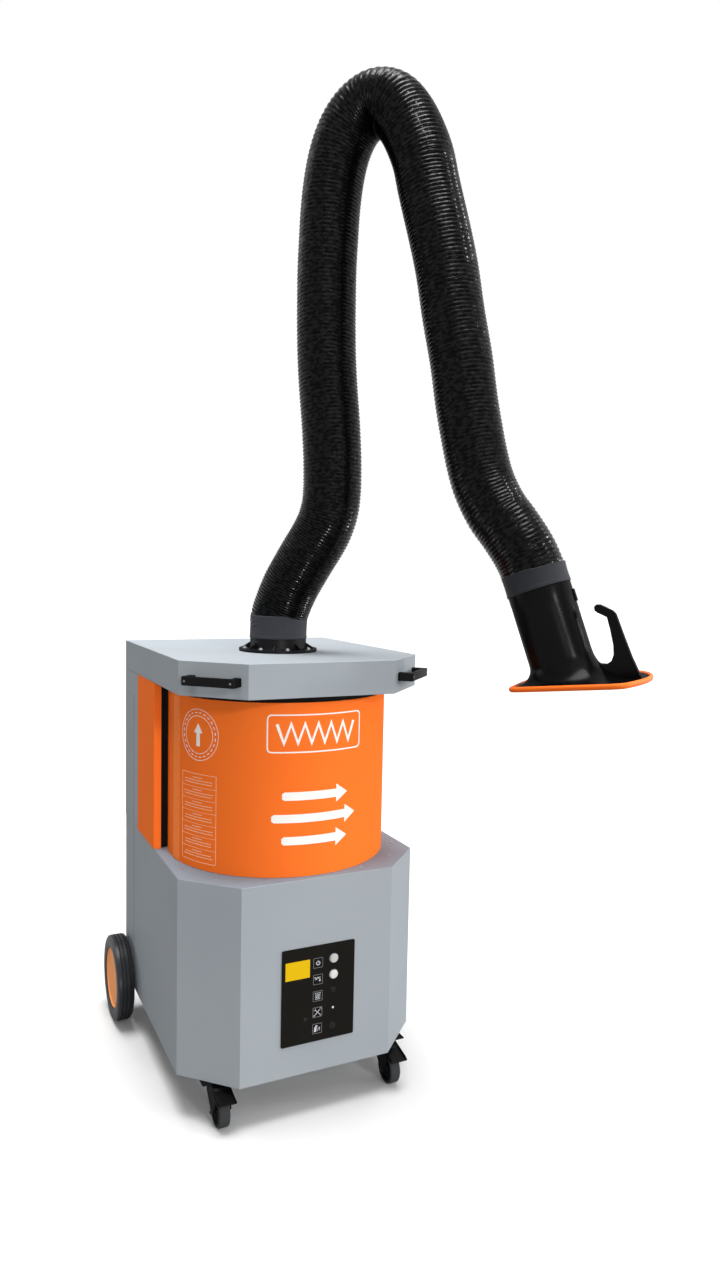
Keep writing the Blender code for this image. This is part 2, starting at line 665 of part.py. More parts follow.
def control_panel():
    """Panel plate with its button rings, display, lamp and the box of electrics behind it."""
    upright = (0.5 * math.pi, 0.0, 0.0)
    face = BASE_SETBACK - GAP - PANEL_THICKNESS
    back = BASE_SETBACK - GAP
    outline = rounded_rectangle(PANEL_WIDTH, PANEL_HEIGHT, PANEL_CORNER)
    plate = solid(part("control_panel", flat(outline, PANEL_THICKNESS), PANEL_BLACK, machine,
                       (0.0, 0.5 * (face + back), PANEL_LEVEL), upright))
    for rise in BUTTON_RISES:
        ring = rod(BEZEL_RADIUS, BEZEL_HEIGHT + 0.5 * PANEL_THICKNESS, BUTTON_SIDES)
        middle = face - 0.5 * (BEZEL_HEIGHT - 0.5 * PANEL_THICKNESS)
        join(plate, tool(ring, machine, (BUTTON_OUT, middle, PANEL_LEVEL + rise), upright))
    for rise in BUTTON_RISES:
        recess = rod(BUTTON_RADIUS + GAP, BEZEL_HEIGHT + OVERRUN, BUTTON_SIDES)
        hole = rod(STEM_RADIUS + GAP, 4 * OVERRUN)
        middle = face - 0.5 * (BEZEL_HEIGHT + OVERRUN)
        cut(plate, tool(recess, machine, (BUTTON_OUT, middle, PANEL_LEVEL + rise), upright),
            tool(hole, machine, (BUTTON_OUT, face, PANEL_LEVEL + rise), upright))

    for name, rise in zip(("button_start", "button_stop"), BUTTON_RISES):
        push = pivot("axis_" + name, machine, (BUTTON_OUT, face, PANEL_LEVEL + rise))
        back = BUTTON_TRAVEL + 2 * GAP
        cap = profile((
            (0.0, BUTTON_PROUD), (BUTTON_RADIUS, BUTTON_PROUD), (BUTTON_RADIUS, back),
            (STEM_RADIUS, back), (STEM_RADIUS, back - STEM_LENGTH), (0.0, back - STEM_LENGTH)), closed=False)
        turned(part(name, cap, BUTTON_GREY, push, (BUTTON_OUT, face, PANEL_LEVEL + rise), upright),
               BUTTON_SIDES)

    part("display", box((DISPLAY_WIDTH, DISPLAY_THICKNESS, DISPLAY_HEIGHT)), DISPLAY_YELLOW, machine,
         (DISPLAY_OUT, face - GAP - 0.5 * DISPLAY_THICKNESS, PANEL_LEVEL + DISPLAY_RISE))
    part("indicator_lamp", rod(LAMP_RADIUS, LAMP_PROUD), BUTTON_GREY, machine,
         (BUTTON_OUT, face - GAP - 0.5 * LAMP_PROUD, PANEL_LEVEL + LAMP_RISE), upright)

    width = PANEL_WIDTH - 2 * PANEL_MARGIN - 2 * SHEET
    height = PANEL_HEIGHT - 2 * PANEL_MARGIN - 2 * SHEET
    near = BASE_SETBACK
    middle = (0.0, near + 0.5 * BOX_DEPTH, PANEL_LEVEL)
    case = part("control_box", box((width, BOX_DEPTH, height)), BLACK_PLASTIC, machine, middle)
    hollow = box((width - 2 * SHEET, BOX_DEPTH, height - 2 * SHEET))
    cut(case, tool(hollow, machine, (0.0, near + 0.5 * BOX_DEPTH - SHEET, PANEL_LEVEL)))


def rear_wheels():
    """Axle through the back cover, and a rim and tyre at each end."""
    level = TYRE_RADIUS
    along = (0.0, 0.5 * math.pi, 0.0)
    part("rear_axle", rod(AXLE_RADIUS, 2 * (WHEEL_OUT + HUB_OUTER)), BARE_STEEL, machine,
         (0.0, WHEEL_DEPTH, level), along)
    half = 0.5 * TYRE_WIDTH
    seat = RIM_RADIUS + GAP
    tyre = profile((
        (TYRE_RADIUS, half - TYRE_SHOULDER), (TYRE_RADIUS, TYRE_SHOULDER - half),
        (TYRE_RADIUS - TYRE_SHOULDER, -half), (seat + TYRE_SHOULDER, -half),
        (seat, -0.5 * RIM_WIDTH), (seat, 0.5 * RIM_WIDTH),
        (seat + TYRE_SHOULDER, half), (TYRE_RADIUS - TYRE_SHOULDER, half)))
    flange = RIM_RADIUS - RIM_FLANGE
    bore = AXLE_RADIUS + GAP
    rim = profile((
        (RIM_RADIUS, 0.5 * RIM_WIDTH), (RIM_RADIUS, -0.5 * RIM_WIDTH), (flange, -0.5 * RIM_WIDTH),
        (flange, 0.0), (HUB_RADIUS, 0.0), (HUB_RADIUS, -HUB_INNER + RIM_WEB),
        (bore, -HUB_INNER + RIM_WEB), (bore, HUB_OUTER), (HUB_RADIUS, HUB_OUTER),
        (HUB_RADIUS, RIM_WEB), (flange, RIM_WEB), (flange, 0.5 * RIM_WIDTH)))
    for side_name, side in SIDES:
        centre = (side * WHEEL_OUT, WHEEL_DEPTH, level)
        spin = pivot("axis_rear_wheel_" + side_name, machine, centre)
        turn = (0.0, side * 0.5 * math.pi, 0.0)
        turned(part("rear_tyre_" + side_name, tyre, BLACK_RUBBER, spin, centre, turn))
        turned(part("rear_rim_" + side_name, rim, ORANGE_PAINT, spin, centre, turn))


def caster(side_name, side):
    """Plate, swivelling fork, wheel and brake pedal of one front caster."""
    out = side * CASTER_OUT
    along = (0.0, 0.5 * math.pi, 0.0)
    top = GROUND_CLEARANCE - GAP
    race = top - CASTER_PLATE - RACE_HEIGHT
    plate = part("caster_plate_" + side_name, box((CASTER_PLATE_WIDTH, CASTER_PLATE_DEPTH, CASTER_PLATE)),
                 BARE_STEEL, machine, (out, CASTER_DEPTH, top - 0.5 * CASTER_PLATE))
    join(plate, tool(rod(RACE_RADIUS, RACE_HEIGHT + CASTER_PLATE), machine,
                     (out, CASTER_DEPTH, race + 0.5 * (RACE_HEIGHT + CASTER_PLATE))))

    head_top = race - GAP
    swivel = pivot("axis_caster_" + side_name, machine, (out, CASTER_DEPTH, head_top))
    axle_depth = CASTER_DEPTH - CASTER_TRAIL
    inner = 0.5 * CASTER_WIDTH + FORK_GAP
    outer = inner + FORK_CHEEK
    fork = part("caster_fork_" + side_name, box((2 * outer, FORK_HEAD_LENGTH, FORK_HEAD)), BLACK_PLASTIC,
                swivel, (out, CASTER_DEPTH, head_top - 0.5 * FORK_HEAD))
    back = CASTER_DEPTH + 0.5 * FORK_HEAD_LENGTH
    near = CASTER_DEPTH - 0.5 * FORK_HEAD_LENGTH
    head_low = head_top - 0.5 * FORK_HEAD
    cheek = ((near, head_low), (back, head_low), (axle_depth + FORK_FOOT, CASTER_RADIUS - 0.5 * FORK_FOOT),
             (axle_depth, CASTER_RADIUS - FORK_FOOT), (axle_depth - FORK_FOOT, CASTER_RADIUS))
    for hand in (-1, 1):
        place = (out + hand * 0.5 * (inner + outer), 0.0, 0.0)
        join(fork, solid(tool(flat(cheek, FORK_CHEEK), swivel, place, (0.5 * math.pi, 0.0, 0.5 * math.pi))))
    centre = (out, axle_depth, CASTER_RADIUS)
    join(fork, tool(rod(CASTER_AXLE_RADIUS, 2 * outer), swivel, centre, along))
    hinge = (out, PEDAL_HINGE_DEPTH, PEDAL_HINGE_LEVEL)
    cut(fork, tool(rod(PEDAL_PIN_RADIUS + GAP, 2 * outer + 2 * OVERRUN), swivel, hinge, along))

    roll = pivot("axis_caster_wheel_" + side_name, swivel, centre)
    half = 0.5 * CASTER_WIDTH
    wheel = profile((
        (CASTER_RADIUS, half - CASTER_TREAD), (CASTER_RADIUS, CASTER_TREAD - half),
        (CASTER_RADIUS - CASTER_TREAD, -half), (CASTER_AXLE_RADIUS + GAP, -half),
        (CASTER_AXLE_RADIUS + GAP, half), (CASTER_RADIUS - CASTER_TREAD, half)))
    turned(part("caster_wheel_" + side_name, wheel, BLACK_RUBBER, roll, centre, along))

    press = pivot("axis_pedal_" + side_name, swivel, hinge)
    tongue = 0.5 * PEDAL_TONGUE_WIDTH
    wide = 0.5 * PEDAL_WIDTH
    shape = ((-tongue, 0.0), (-tongue, -PEDAL_TONGUE_LENGTH), (-wide, -PEDAL_TONGUE_LENGTH),
             (-wide, -PEDAL_LENGTH), (wide, -PEDAL_LENGTH), (wide, -PEDAL_TONGUE_LENGTH),
             (tongue, -PEDAL_TONGUE_LENGTH), (tongue, 0.0))
    pedal = solid(part("caster_pedal_" + side_name, flat(shape, PEDAL_THICKNESS), BLACK_PLASTIC, press,
                       hinge, (PEDAL_SLOPE, 0.0, 0.0)))
    join(pedal, tool(rod(PEDAL_PIN_RADIUS, 2 * outer), press, hinge, along))


def handles():
    """A bridge handle on each cut corner of the casing."""
    long = 0.5 * HANDLE_LENGTH
    bar = HANDLE_STANDOFF - HANDLE_BAR
    shape = ((-long, -HANDLE_STANDOFF), (long, -HANDLE_STANDOFF), (long, 0.0), (long - HANDLE_FOOT, 0.0),
             (long - HANDLE_FOOT, -bar), (HANDLE_FOOT - long, -bar), (HANDLE_FOOT - long, 0.0), (-long, 0.0))
    angle = math.atan2(CORNER_DEPTH, CORNER_WIDTH)
    for side_name, side in SIDES:
        place = (side * (0.5 * WIDTH - 0.5 * CORNER_WIDTH + GAP), 0.5 * CORNER_DEPTH - GAP,
                 HEIGHT - HANDLE_DROP)
        bridge = solid(part("handle_" + side_name, flat(shape, HANDLE_HEIGHT), BLACK_PLASTIC, machine, place,
                            (0.0, 0.0, side * angle)))
        round_edges(bridge, HANDLE_EDGE)


def lift(place, side=0.0):
    """A point of the arm's upright plane, given as out and rise, in the arm frame."""
    return Vector((place[0], side, place[1]))


def flange():
    """The fixed flange on the casing, with its tube and gussets."""
    foot = (0.0, ARM_DEPTH, HEIGHT + GAP)
    shell = profile((
        (FLANGE_TUBE_RADIUS, FLANGE_TUBE_HEIGHT), (FLANGE_TUBE_RADIUS, FLANGE_HEIGHT),
        (FLANGE_RADIUS, FLANGE_HEIGHT), (FLANGE_RADIUS, 0.0), (FLANGE_BORE_RADIUS, 0.0),
        (FLANGE_BORE_RADIUS, FLANGE_TUBE_HEIGHT)))
    ring = turned(part("arm_flange", shell, BLACK_PLASTIC, machine, foot))
    inner = FLANGE_TUBE_RADIUS - 0.5 * (FLANGE_TUBE_RADIUS - FLANGE_BORE_RADIUS)
    low = 0.5 * FLANGE_HEIGHT
    high = FLANGE_HEIGHT + 0.5 * (FLANGE_TUBE_HEIGHT - FLANGE_HEIGHT)
    shape = ((inner, low), (FLANGE_TUBE_RADIUS + GUSSET_LENGTH, low),
             (FLANGE_TUBE_RADIUS + GUSSET_LENGTH, FLANGE_HEIGHT), (inner, high))
    for index in range(GUSSETS):
        angle = 2 * math.pi * (index + 0.5) / GUSSETS
        gusset = tool(flat(shape, GUSSET_THICKNESS), machine, foot, (0.5 * math.pi, 0.0, angle))
        join(ring, solid(gusset))


def round_end(place, towards, radius, steps=8):
    """Half a circle about place, on the side away from the other point."""
    way = (Vector(towards) - Vector(place)).normalized()
    side = Vector((way.y, -way.x))
    points = []
    for step in range(steps + 1):
        angle = math.pi * step / steps
        points.append(Vector(place) + radius * (math.cos(angle) * side - math.sin(angle) * way))
    return points


def strap(start, end, overlap, radius):
    """Outline of a bar with a round end about start, reaching overlap along the way to end."""
    way = (Vector(end) - Vector(start)).normalized()
    side = Vector((way.y, -way.x))
    far = Vector(start) + overlap * way
    return round_end(start, end, radius) + [far - radius * side, far + radius * side]


def bar_at(start, end, body, offset, thickness, overlap=EYE_OVERLAP):
    """A strap as a joining tool, standing in the arm's plane at an offset from it."""
    shape = flat(strap(start, end, overlap, EYE_RADIUS), thickness)
    return solid(tool(shape, body, (0.0, offset, 0.0), (0.5 * math.pi, 0.0, 0.0)))


def eye(start, end, body):
    return [bar_at(start, end, body, 0.0, EYE_THICKNESS)]


def fork(start, end, body):
    offset = 0.5 * (EYE_THICKNESS + FORK_PLATE) + GAP
    return [bar_at(start, end, body, hand * offset, FORK_PLATE) for hand in (-1, 1)]


def pin_hole(thing, place, body):
    hole = rod(BOLT_RADIUS + GAP, 2 * BOLT_HEAD_RADIUS + 4 * FORK_PLATE)
    cut(thing, tool(hole, body, lift(place), (0.5 * math.pi, 0.0, 0.0)))


def set_back(place, towards):
    way = (Vector(towards) - Vector(place)).normalized()
    return Vector(place) + LINK_SETBACK * way


def link(name, body, route, fittings):
    """A tube along the route, with an eye or a fork at the ends that have one."""
    places = [Vector(place) for place in route]
    ends = {0: 1, len(route) - 1: len(route) - 2}
    for index, following in ends.items():
        if fittings.get(index):
            places[index] = set_back(route[index], route[following])
    made = solid(part(name, wire([lift(place) for place in places], LINK_RADIUS), BARE_STEEL, body))
    for index, following in ends.items():
        if fittings.get(index):
            join(made, *fittings[index](route[index], route[following], body))
            pin_hole(made, route[index], body)
    return made


def bolt(name, place, body):
    """Pivot bolt with its head and nut, across the arm's plane."""
    grip = 0.5 * EYE_THICKNESS + FORK_PLATE + 2 * GAP
    half = grip + BOLT_HEAD_HEIGHT
    shape = profile((
        (0.0, half), (BOLT_HEAD_RADIUS, half), (BOLT_HEAD_RADIUS, grip), (BOLT_RADIUS, grip),
        (BOLT_RADIUS, -grip), (BOLT_HEAD_RADIUS, -grip), (BOLT_HEAD_RADIUS, -half), (0.0, -half)),
        closed=False)
    turned(part(name, shape, BARE_STEEL, body, lift(place), (0.5 * math.pi, 0.0, 0.0)), SMALL_SIDES)


def arm_frame(bodies):
    """The jointed steel frame inside the hose."""
    ring_low = FLANGE_TUBE_HEIGHT + 2 * GAP
    inner = CUFF_RADIUS - CUFF_WALL
    cuff = tube_profile(CUFF_RADIUS, inner, ring_low, ring_low + CUFF_HEIGHT)
    turned(part("base_cuff", cuff, CUFF_GREY, bodies["turntable"]))
    foot = (0.0, ring_low + 0.5 * SWIVEL_RING_HEIGHT)
    carrier = link("arm_carrier", bodies["turntable"], (foot, SHOULDER), {1: fork})
    ring = turned(tool(tube_profile(inner - GAP, SWIVEL_RING_RADIUS, ring_low, ring_low + SWIVEL_RING_HEIGHT),
                       bodies["turntable"]))
    spider_reach = SWIVEL_RING_RADIUS + inner
    spider = box((2 * SPIDER_BAR, spider_reach, SPIDER_HEIGHT))
    join(carrier, ring, tool(spider, bodies["turntable"], lift(foot)))
    bolt("shoulder_bolt", SHOULDER, bodies["turntable"])

    knee = (LOWER_KNEE_OUT, LOWER_KNEE_RISE)
    link("lower_link", bodies["lower_arm"], (SHOULDER, knee, ELBOW_LOW), {0: eye, 2: fork})
    bolt("elbow_low_bolt", ELBOW_LOW, bodies["lower_arm"])

    outline = round_end(ELBOW_LOW, ELBOW_HIGH, EYE_RADIUS) + round_end(ELBOW_HIGH, ELBOW_LOW, EYE_RADIUS)
    plate = solid(part("elbow_plate", flat(outline, EYE_THICKNESS), BARE_STEEL, bodies["elbow"],
                       (0.0, 0.0, 0.0), (0.5 * math.pi, 0.0, 0.0)))
    for place in (ELBOW_LOW, ELBOW_HIGH):
        pin_hole(plate, place, bodies["elbow"])

    knee = (UPPER_KNEE_OUT, UPPER_KNEE_RISE)
    link("upper_link", bodies["upper_arm"], (ELBOW_HIGH, knee, WRIST), {0: fork, 2: eye})
    bolt("elbow_high_bolt", ELBOW_HIGH, bodies["upper_arm"])

    tilt = (0.0, -HOOD_TILT, 0.0)
    foot = (COLLAR[0] + 0.5 * COLLAR_RING_HEIGHT * math.sin(HOOD_TILT),
            COLLAR[1] - 0.5 * COLLAR_RING_HEIGHT * math.cos(HOOD_TILT))
    wrist = link("wrist_link", bodies["wrist"], (WRIST, foot), {0: fork})
    ring = tube_profile(inner - GAP, SWIVEL_RING_RADIUS, -COLLAR_RING_HEIGHT, 0.0)
    bar = box((2 * SPIDER_BAR, spider_reach, SPIDER_BAR))
    join(wrist, turned(tool(ring, bodies["wrist"], lift(COLLAR), tilt)),
         tool(bar, bodies["wrist"], lift(foot), tilt))
    bolt("wrist_bolt", WRIST, bodies["wrist"])
    cuff = tube_profile(CUFF_RADIUS, inner, -COLLAR_CUFF_HEIGHT, 0.0)
    turned(part("hood_cuff", cuff, CUFF_GREY, bodies["wrist"], lift(COLLAR), tilt))


def between(start, end, shares):
    """Points from a table of shares, on the way from start to end."""
    way = Vector(end) - Vector(start)
    side = Vector((way.y, -way.x)).normalized()
    return [Vector(start) + along * way + aside * 2 * CUFF_RADIUS * side for along, aside in shares]


def through(knots, steps=12):
    """A smooth curve through the knots, without its first and last run."""
    points = []
    for index in range(1, len(knots) - 2):
        before, here, there, after = knots[index - 1:index + 3]
        for step in range(steps):
            share = step / steps
            points.append(0.5 * (
                2 * here + (there - before) * share
                + (2 * before - 5 * here + 4 * there - after) * share ** 2
                + (3 * here - before - 3 * there + after) * share ** 3))
    points.append(knots[-2].copy())
    return points


def beyond(inner, end, way):
    """A knot past the end of a curve, which makes it leave the end along the way."""
    return inner + 2 * (end - inner).dot(way) * way


def hose_way():
    """The hose's centre line from cuff to cuff, its length at each point, and where stretches meet."""
    cuff_top = FLANGE_TUBE_HEIGHT + 2 * GAP + CUFF_HEIGHT
    up = Vector((0.0, 1.0))
    down = Vector((math.sin(HOOD_TILT), -math.cos(HOOD_TILT)))
    start = Vector((0.0, cuff_top)) + GAP * up
    end = Vector(COLLAR) - GAP * down
    leave = start + 0.5 * RIB_PITCH * up
    arrive = end - 0.5 * RIB_PITCH * down
    knots = [leave] + between(start, SHOULDER, BASE_WAY_SHARES) + [Vector(SHOULDER)]
    knots += between(SHOULDER, ELBOW_LOW, LOWER_WAY_SHARES) + [Vector(ELBOW_LOW)]
    knots += between(ELBOW_LOW, ELBOW_HIGH, ELBOW_WAY_SHARES) + [Vector(ELBOW_HIGH)]
    knots += between(ELBOW_HIGH, WRIST, UPPER_WAY_SHARES) + [Vector(WRIST)]
    knots += between(WRIST, end, WRIST_WAY_SHARES) + [arrive]
    knots = [beyond(knots[1], leave, up)] + knots + [beyond(knots[-2], arrive, down)]
    points = [start] + through(knots) + [end]
    lengths = [0.0]
    for here, there in zip(points, points[1:]):
        lengths.append(lengths[-1] + (there - here).length)

    def length_at(place):
        return lengths[min(range(len(points)), key=lambda index: (points[index] - Vector(place)).length)]

    apex = 0.5 * (length_at(ELBOW_LOW) + length_at(ELBOW_HIGH))
    marks = (
        0.0,
        length_at(SHOULDER) - SHOULDER_REACH,
        length_at(SHOULDER) + SHOULDER_REACH,
        length_at(ELBOW_LOW) - ELBOW_REACH,
        apex,
        length_at(ELBOW_HIGH) + ELBOW_REACH,
        length_at(WRIST) - WRIST_REACH,
        lengths[-1])
    return points, lengths, marks


def place_at(points, lengths, length):
    """The point at a length along the way, carried straight on past either end."""
    index = 0
    while index < len(lengths) - 2 and lengths[index + 1] < length:
        index += 1
    share = (length - lengths[index]) / (lengths[index + 1] - lengths[index])
    return lift(points[index] + share * (points[index + 1] - points[index]))


def hose(bodies):
    """The ribbed hose in stretches: stiff ones on the links, and a bend over each joint."""
    points, lengths, marks = hose_way()
    apex = marks[len(marks) // 2]
    stretches = (
        ("hose_base", "turntable"), ("hose_shoulder", "turntable"), ("hose_lower", "lower_arm"),
        ("hose_elbow_low", "lower_arm"), ("hose_elbow_high", "elbow"), ("hose_upper", "upper_arm"),
        ("hose_wrist", "upper_arm"))
    ribs_in_all = 0
    for (name, body), low, high in zip(stretches, marks, marks[1:]):
        ribs = max(2, round((high - low) / RIB_PITCH))
        ribs_in_all += ribs
        step = (high - low) / (2 * ribs)
        places = [place_at(points, lengths, low + step * index) for index in range(2 * ribs + 1)]
        ways = []
        for mark, neighbour in ((low, 1), (high, -2)):
            near = place_at(points, lengths, mark - 0.5 * RIB_PITCH)
            far = place_at(points, lengths, mark + 0.5 * RIB_PITCH)
            way = (far - near).normalized() * (1 if neighbour > 0 else -1)
            ways.append(way)
            face = 0 if neighbour > 0 else -1
            places[neighbour] = places[face] + step * way
            places[face] = places[face] + 0.5 * GAP * way
        radii = [HOSE_CREST_RADIUS if index % 2 else HOSE_ROOT_RADIUS for index in range(2 * ribs + 1)]
        shares = [radius / HOSE_CREST_RADIUS for radius in radii]
        piece = solid(part(name, wire(places, HOSE_CREST_RADIUS, shares), HOSE_BLACK, bodies[body]))
        inside = [places[0] - OVERRUN * ways[0]] + places[1:-1:2] + [places[-1] - OVERRUN * ways[1]]
        cut(piece, solid(tool(wire(inside, HOSE_BORE_RADIUS), bodies[body])))
        for mark, way in ((low, ways[0]), (high, ways[1])):
            if mark == apex:
                past = box((TRIM_WIDTH, TRIM_WIDTH, TRIM_DEPTH))
                middle = place_at(points, lengths, apex) + (0.25 * GAP - 0.5 * TRIM_DEPTH) * way
                cut(piece, tool(past, bodies[body], middle, (0.0, math.atan2(way.x, way.z), 0.0)))
    print("hose: length %.3f m, %d ribs" % (lengths[-1], ribs_in_all))


def mouth_reach(angle, inset):
    """Distance from the mouth's centre to its outline, a polygon with rounded corners."""
    edges = (
        (0.0, MOUTH_FRONT), (MOUTH_CORNER_TURN, MOUTH_CORNER), (MOUTH_SIDE_TURN, MOUTH_SIDE),
        (math.pi, MOUTH_BACK), (-MOUTH_SIDE_TURN, MOUTH_SIDE), (-MOUTH_CORNER_TURN, MOUTH_CORNER))
    total = 0.0
    for turn, distance in edges:
        total += max(0.0, math.cos(angle - turn) / (distance - inset)) ** MOUTH_ROUNDING
    return total ** (-1.0 / MOUTH_ROUNDING)


def mouth_ring(inset, drop):
    """Points of the mouth's outline, inset, and dropped square to its tilted plane."""
    along = Vector((math.cos(MOUTH_TILT), 0.0, -math.sin(MOUTH_TILT)))
    down = Vector((-math.sin(MOUTH_TILT), 0.0, -math.cos(MOUTH_TILT)))
    centre = Vector((0.0, 0.0, -MOUTH_DROP))
    ring = []
    for index in range(MOUTH_SIDES):
        angle = 2 * math.pi * index / MOUTH_SIDES
        reach = mouth_reach(angle, inset)
        ring.append(centre + reach * math.cos(angle) * along
                    + Vector((0.0, reach * math.sin(angle), 0.0)) + drop * down)
    return ring


def neck_ring(radius, drop):
    turns = (2 * math.pi * index / MOUTH_SIDES for index in range(MOUTH_SIDES))
    return [Vector((radius * math.cos(turn), radius * math.sin(turn), -drop)) for turn in turns]


def loft(rings):
    """A closed solid through rings of as many points each."""
    work = bmesh.new()
    rows = [[work.verts.new(place) for place in ring] for ring in rings]
    for upper, lower in zip(rows, rows[1:]):
        for index in range(MOUTH_SIDES):
            following = (index + 1) % MOUTH_SIDES
            work.faces.new((upper[index], lower[index], lower[following], upper[following]))
    work.faces.new(rows[0])
    work.faces.new(reversed(rows[-1]))
    bmesh.ops.recalc_face_normals(work, faces=work.faces)
    mesh = bpy.data.meshes.new("loft")
    work.to_mesh(mesh)
    work.free()
    return mesh


def hood_rings(wall_inset, top, sunk, bottom):
    """Rings of the hood's outer or inner form; sunk lowers the flare's end by the wall."""
    steps = (NECK_SPIGOT_RADIUS, top), (NECK_SPIGOT_RADIUS, COLLAR_CUFF_HEIGHT), \
            (NECK_RADIUS, COLLAR_CUFF_HEIGHT + NECK_WALL), (NECK_RADIUS, NECK_LENGTH)
    rings = [neck_ring(radius - wall_inset, drop) for radius, drop in steps]
    base = rings[-1]
    lip = 2 * RIM_TUBE_RADIUS + GAP + wall_inset
    edge = mouth_ring(lip, sunk)
    for step in range(1, FLARE_STEPS + 1):
        angle = 0.5 * math.pi * step / FLARE_STEPS
        outward = 1.0 - math.cos(angle)
        downward = math.sin(angle)
        rings.append([
            Vector((near.x + outward * (far.x - near.x), near.y + outward * (far.y - near.y),
                    near.z + downward * (far.z - near.z))) for near, far in zip(base, edge)])
    rings.append(mouth_ring(lip, bottom))
    return rings


def suction_hood(hood, flap):
    """Neck and flared mouth with its hook handle, the rim's edging and the throttle flap."""
    top = COLLAR_RING_HEIGHT + GAP
    shell = part("suction_hood", loft(hood_rings(0.0, top, 0.0, LIP_HEIGHT)), BLACK_PLASTIC, hood)
    outline = [(out * MOUTH_DROP, rise * MOUTH_DROP) for out, rise in HOOK_SHARES]
    join(shell, solid(tool(flat(outline, HOOK_WIDTH), hood, (0.0, 0.0, 0.0), (0.5 * math.pi, 0.0, 0.0))))
    cut(shell, tool(loft(hood_rings(NECK_WALL, top - OVERRUN, NECK_WALL, LIP_HEIGHT + OVERRUN)), hood))
    spindle_way = (0.0, 0.5 * math.pi, 0.0)
    hole = rod(SPINDLE_RADIUS + GAP, 2 * NECK_RADIUS + 2 * GAP)
    cut(shell, tool(hole, hood, (0.0, 0.0, -FLAP_DROP), spindle_way))

    rim = mouth_ring(RIM_TUBE_RADIUS, 0.5 * LIP_HEIGHT)
    part("hood_rim", wire(rim, RIM_TUBE_RADIUS, closed=True), ORANGE_RUBBER, hood)

    centre = (0.0, 0.0, -FLAP_DROP)
    disc = part("throttle_flap", rod(FLAP_RADIUS, FLAP_THICKNESS, ROUND_SIDES), BARE_STEEL, flap, centre,
                (0.5 * math.pi, 0.0, 0.0))
    near = NECK_WALL - NECK_RADIUS
    far = NECK_RADIUS + 2 * GAP + LEVER_THICKNESS
    spindle = rod(SPINDLE_RADIUS, far - near)
    join(disc, tool(spindle, flap, (0.5 * (near + far), 0.0, -FLAP_DROP), spindle_way))
    lever = box((LEVER_THICKNESS, LEVER_WIDTH, LEVER_LENGTH))
    join(disc, tool(lever, flap, (far - 0.5 * LEVER_THICKNESS, 0.0, -FLAP_DROP)))


def arm():
    """The arm's pivots, one inside the other, and everything that they carry."""
    base = (0.0, ARM_DEPTH, HEIGHT)
    swivel = pivot("axis_arm_swivel", machine, base, (0.0, 0.0, ARM_YAW), (0.0, 0.0, 0.0))
    shoulder = pivot("axis_shoulder", swivel, lift(SHOULDER))
    elbow_low = pivot("axis_elbow_low", shoulder, lift(ELBOW_LOW))
    elbow_high = pivot("axis_elbow_high", elbow_low, lift(ELBOW_HIGH))
    wrist = pivot("axis_wrist", elbow_high, lift(WRIST))
    hood = pivot("axis_hood_turn", wrist, lift(COLLAR), (0.0, -HOOD_TILT, 0.0), (0.0, 0.0, 0.0))
    flap = pivot("axis_flap", hood, (0.0, 0.0, -FLAP_DROP))
    bodies = {"turntable": swivel, "lower_arm": shoulder, "elbow": elbow_low, "upper_arm": elbow_high,
              "wrist": wrist}
    arm_frame(bodies)
    hose(bodies)
    suction_hood(hood, flap)


def centre_on_origin():
    """Moves the machine so that the middle of its box, seen from above, is on the origin."""
    bpy.context.view_layer.update()
    graph = bpy.context.evaluated_depsgraph_get()
    corners = []
    for thing in PARTS.objects:
        if thing.type == "EMPTY":
            continue
        seen = thing.evaluated_get(graph)
        mesh = seen.to_mesh()
        corners.extend(seen.matrix_world @ vertex.co for vertex in mesh.vertices)
        seen.to_mesh_clear()
    for axis in (0, 1):
        values = [corner[axis] for corner in corners]
        machine.location[axis] = -0.5 * (min(values) + max(values))
    machine.location[2] = -min(corner[2] for corner in corners)


cabinet_walls()
top_casing()
filter_drum()
fan()
control_panel()
rear_wheels()
for side_name, side in SIDES:
    caster(side_name, side)
handles()
flange()
arm()
centre_on_origin()
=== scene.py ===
"""Mobile welding fume extractor: finishes, dressed pieces, light and camera.

Lengths are in metres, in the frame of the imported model: X to the right, Y to the back, Z up.
A place on the arm is given by its distance out from the swivel's axis and its height over the lid.
"""

import json
import math
import random

import bmesh
import bpy
from mathutils import Matrix, Vector


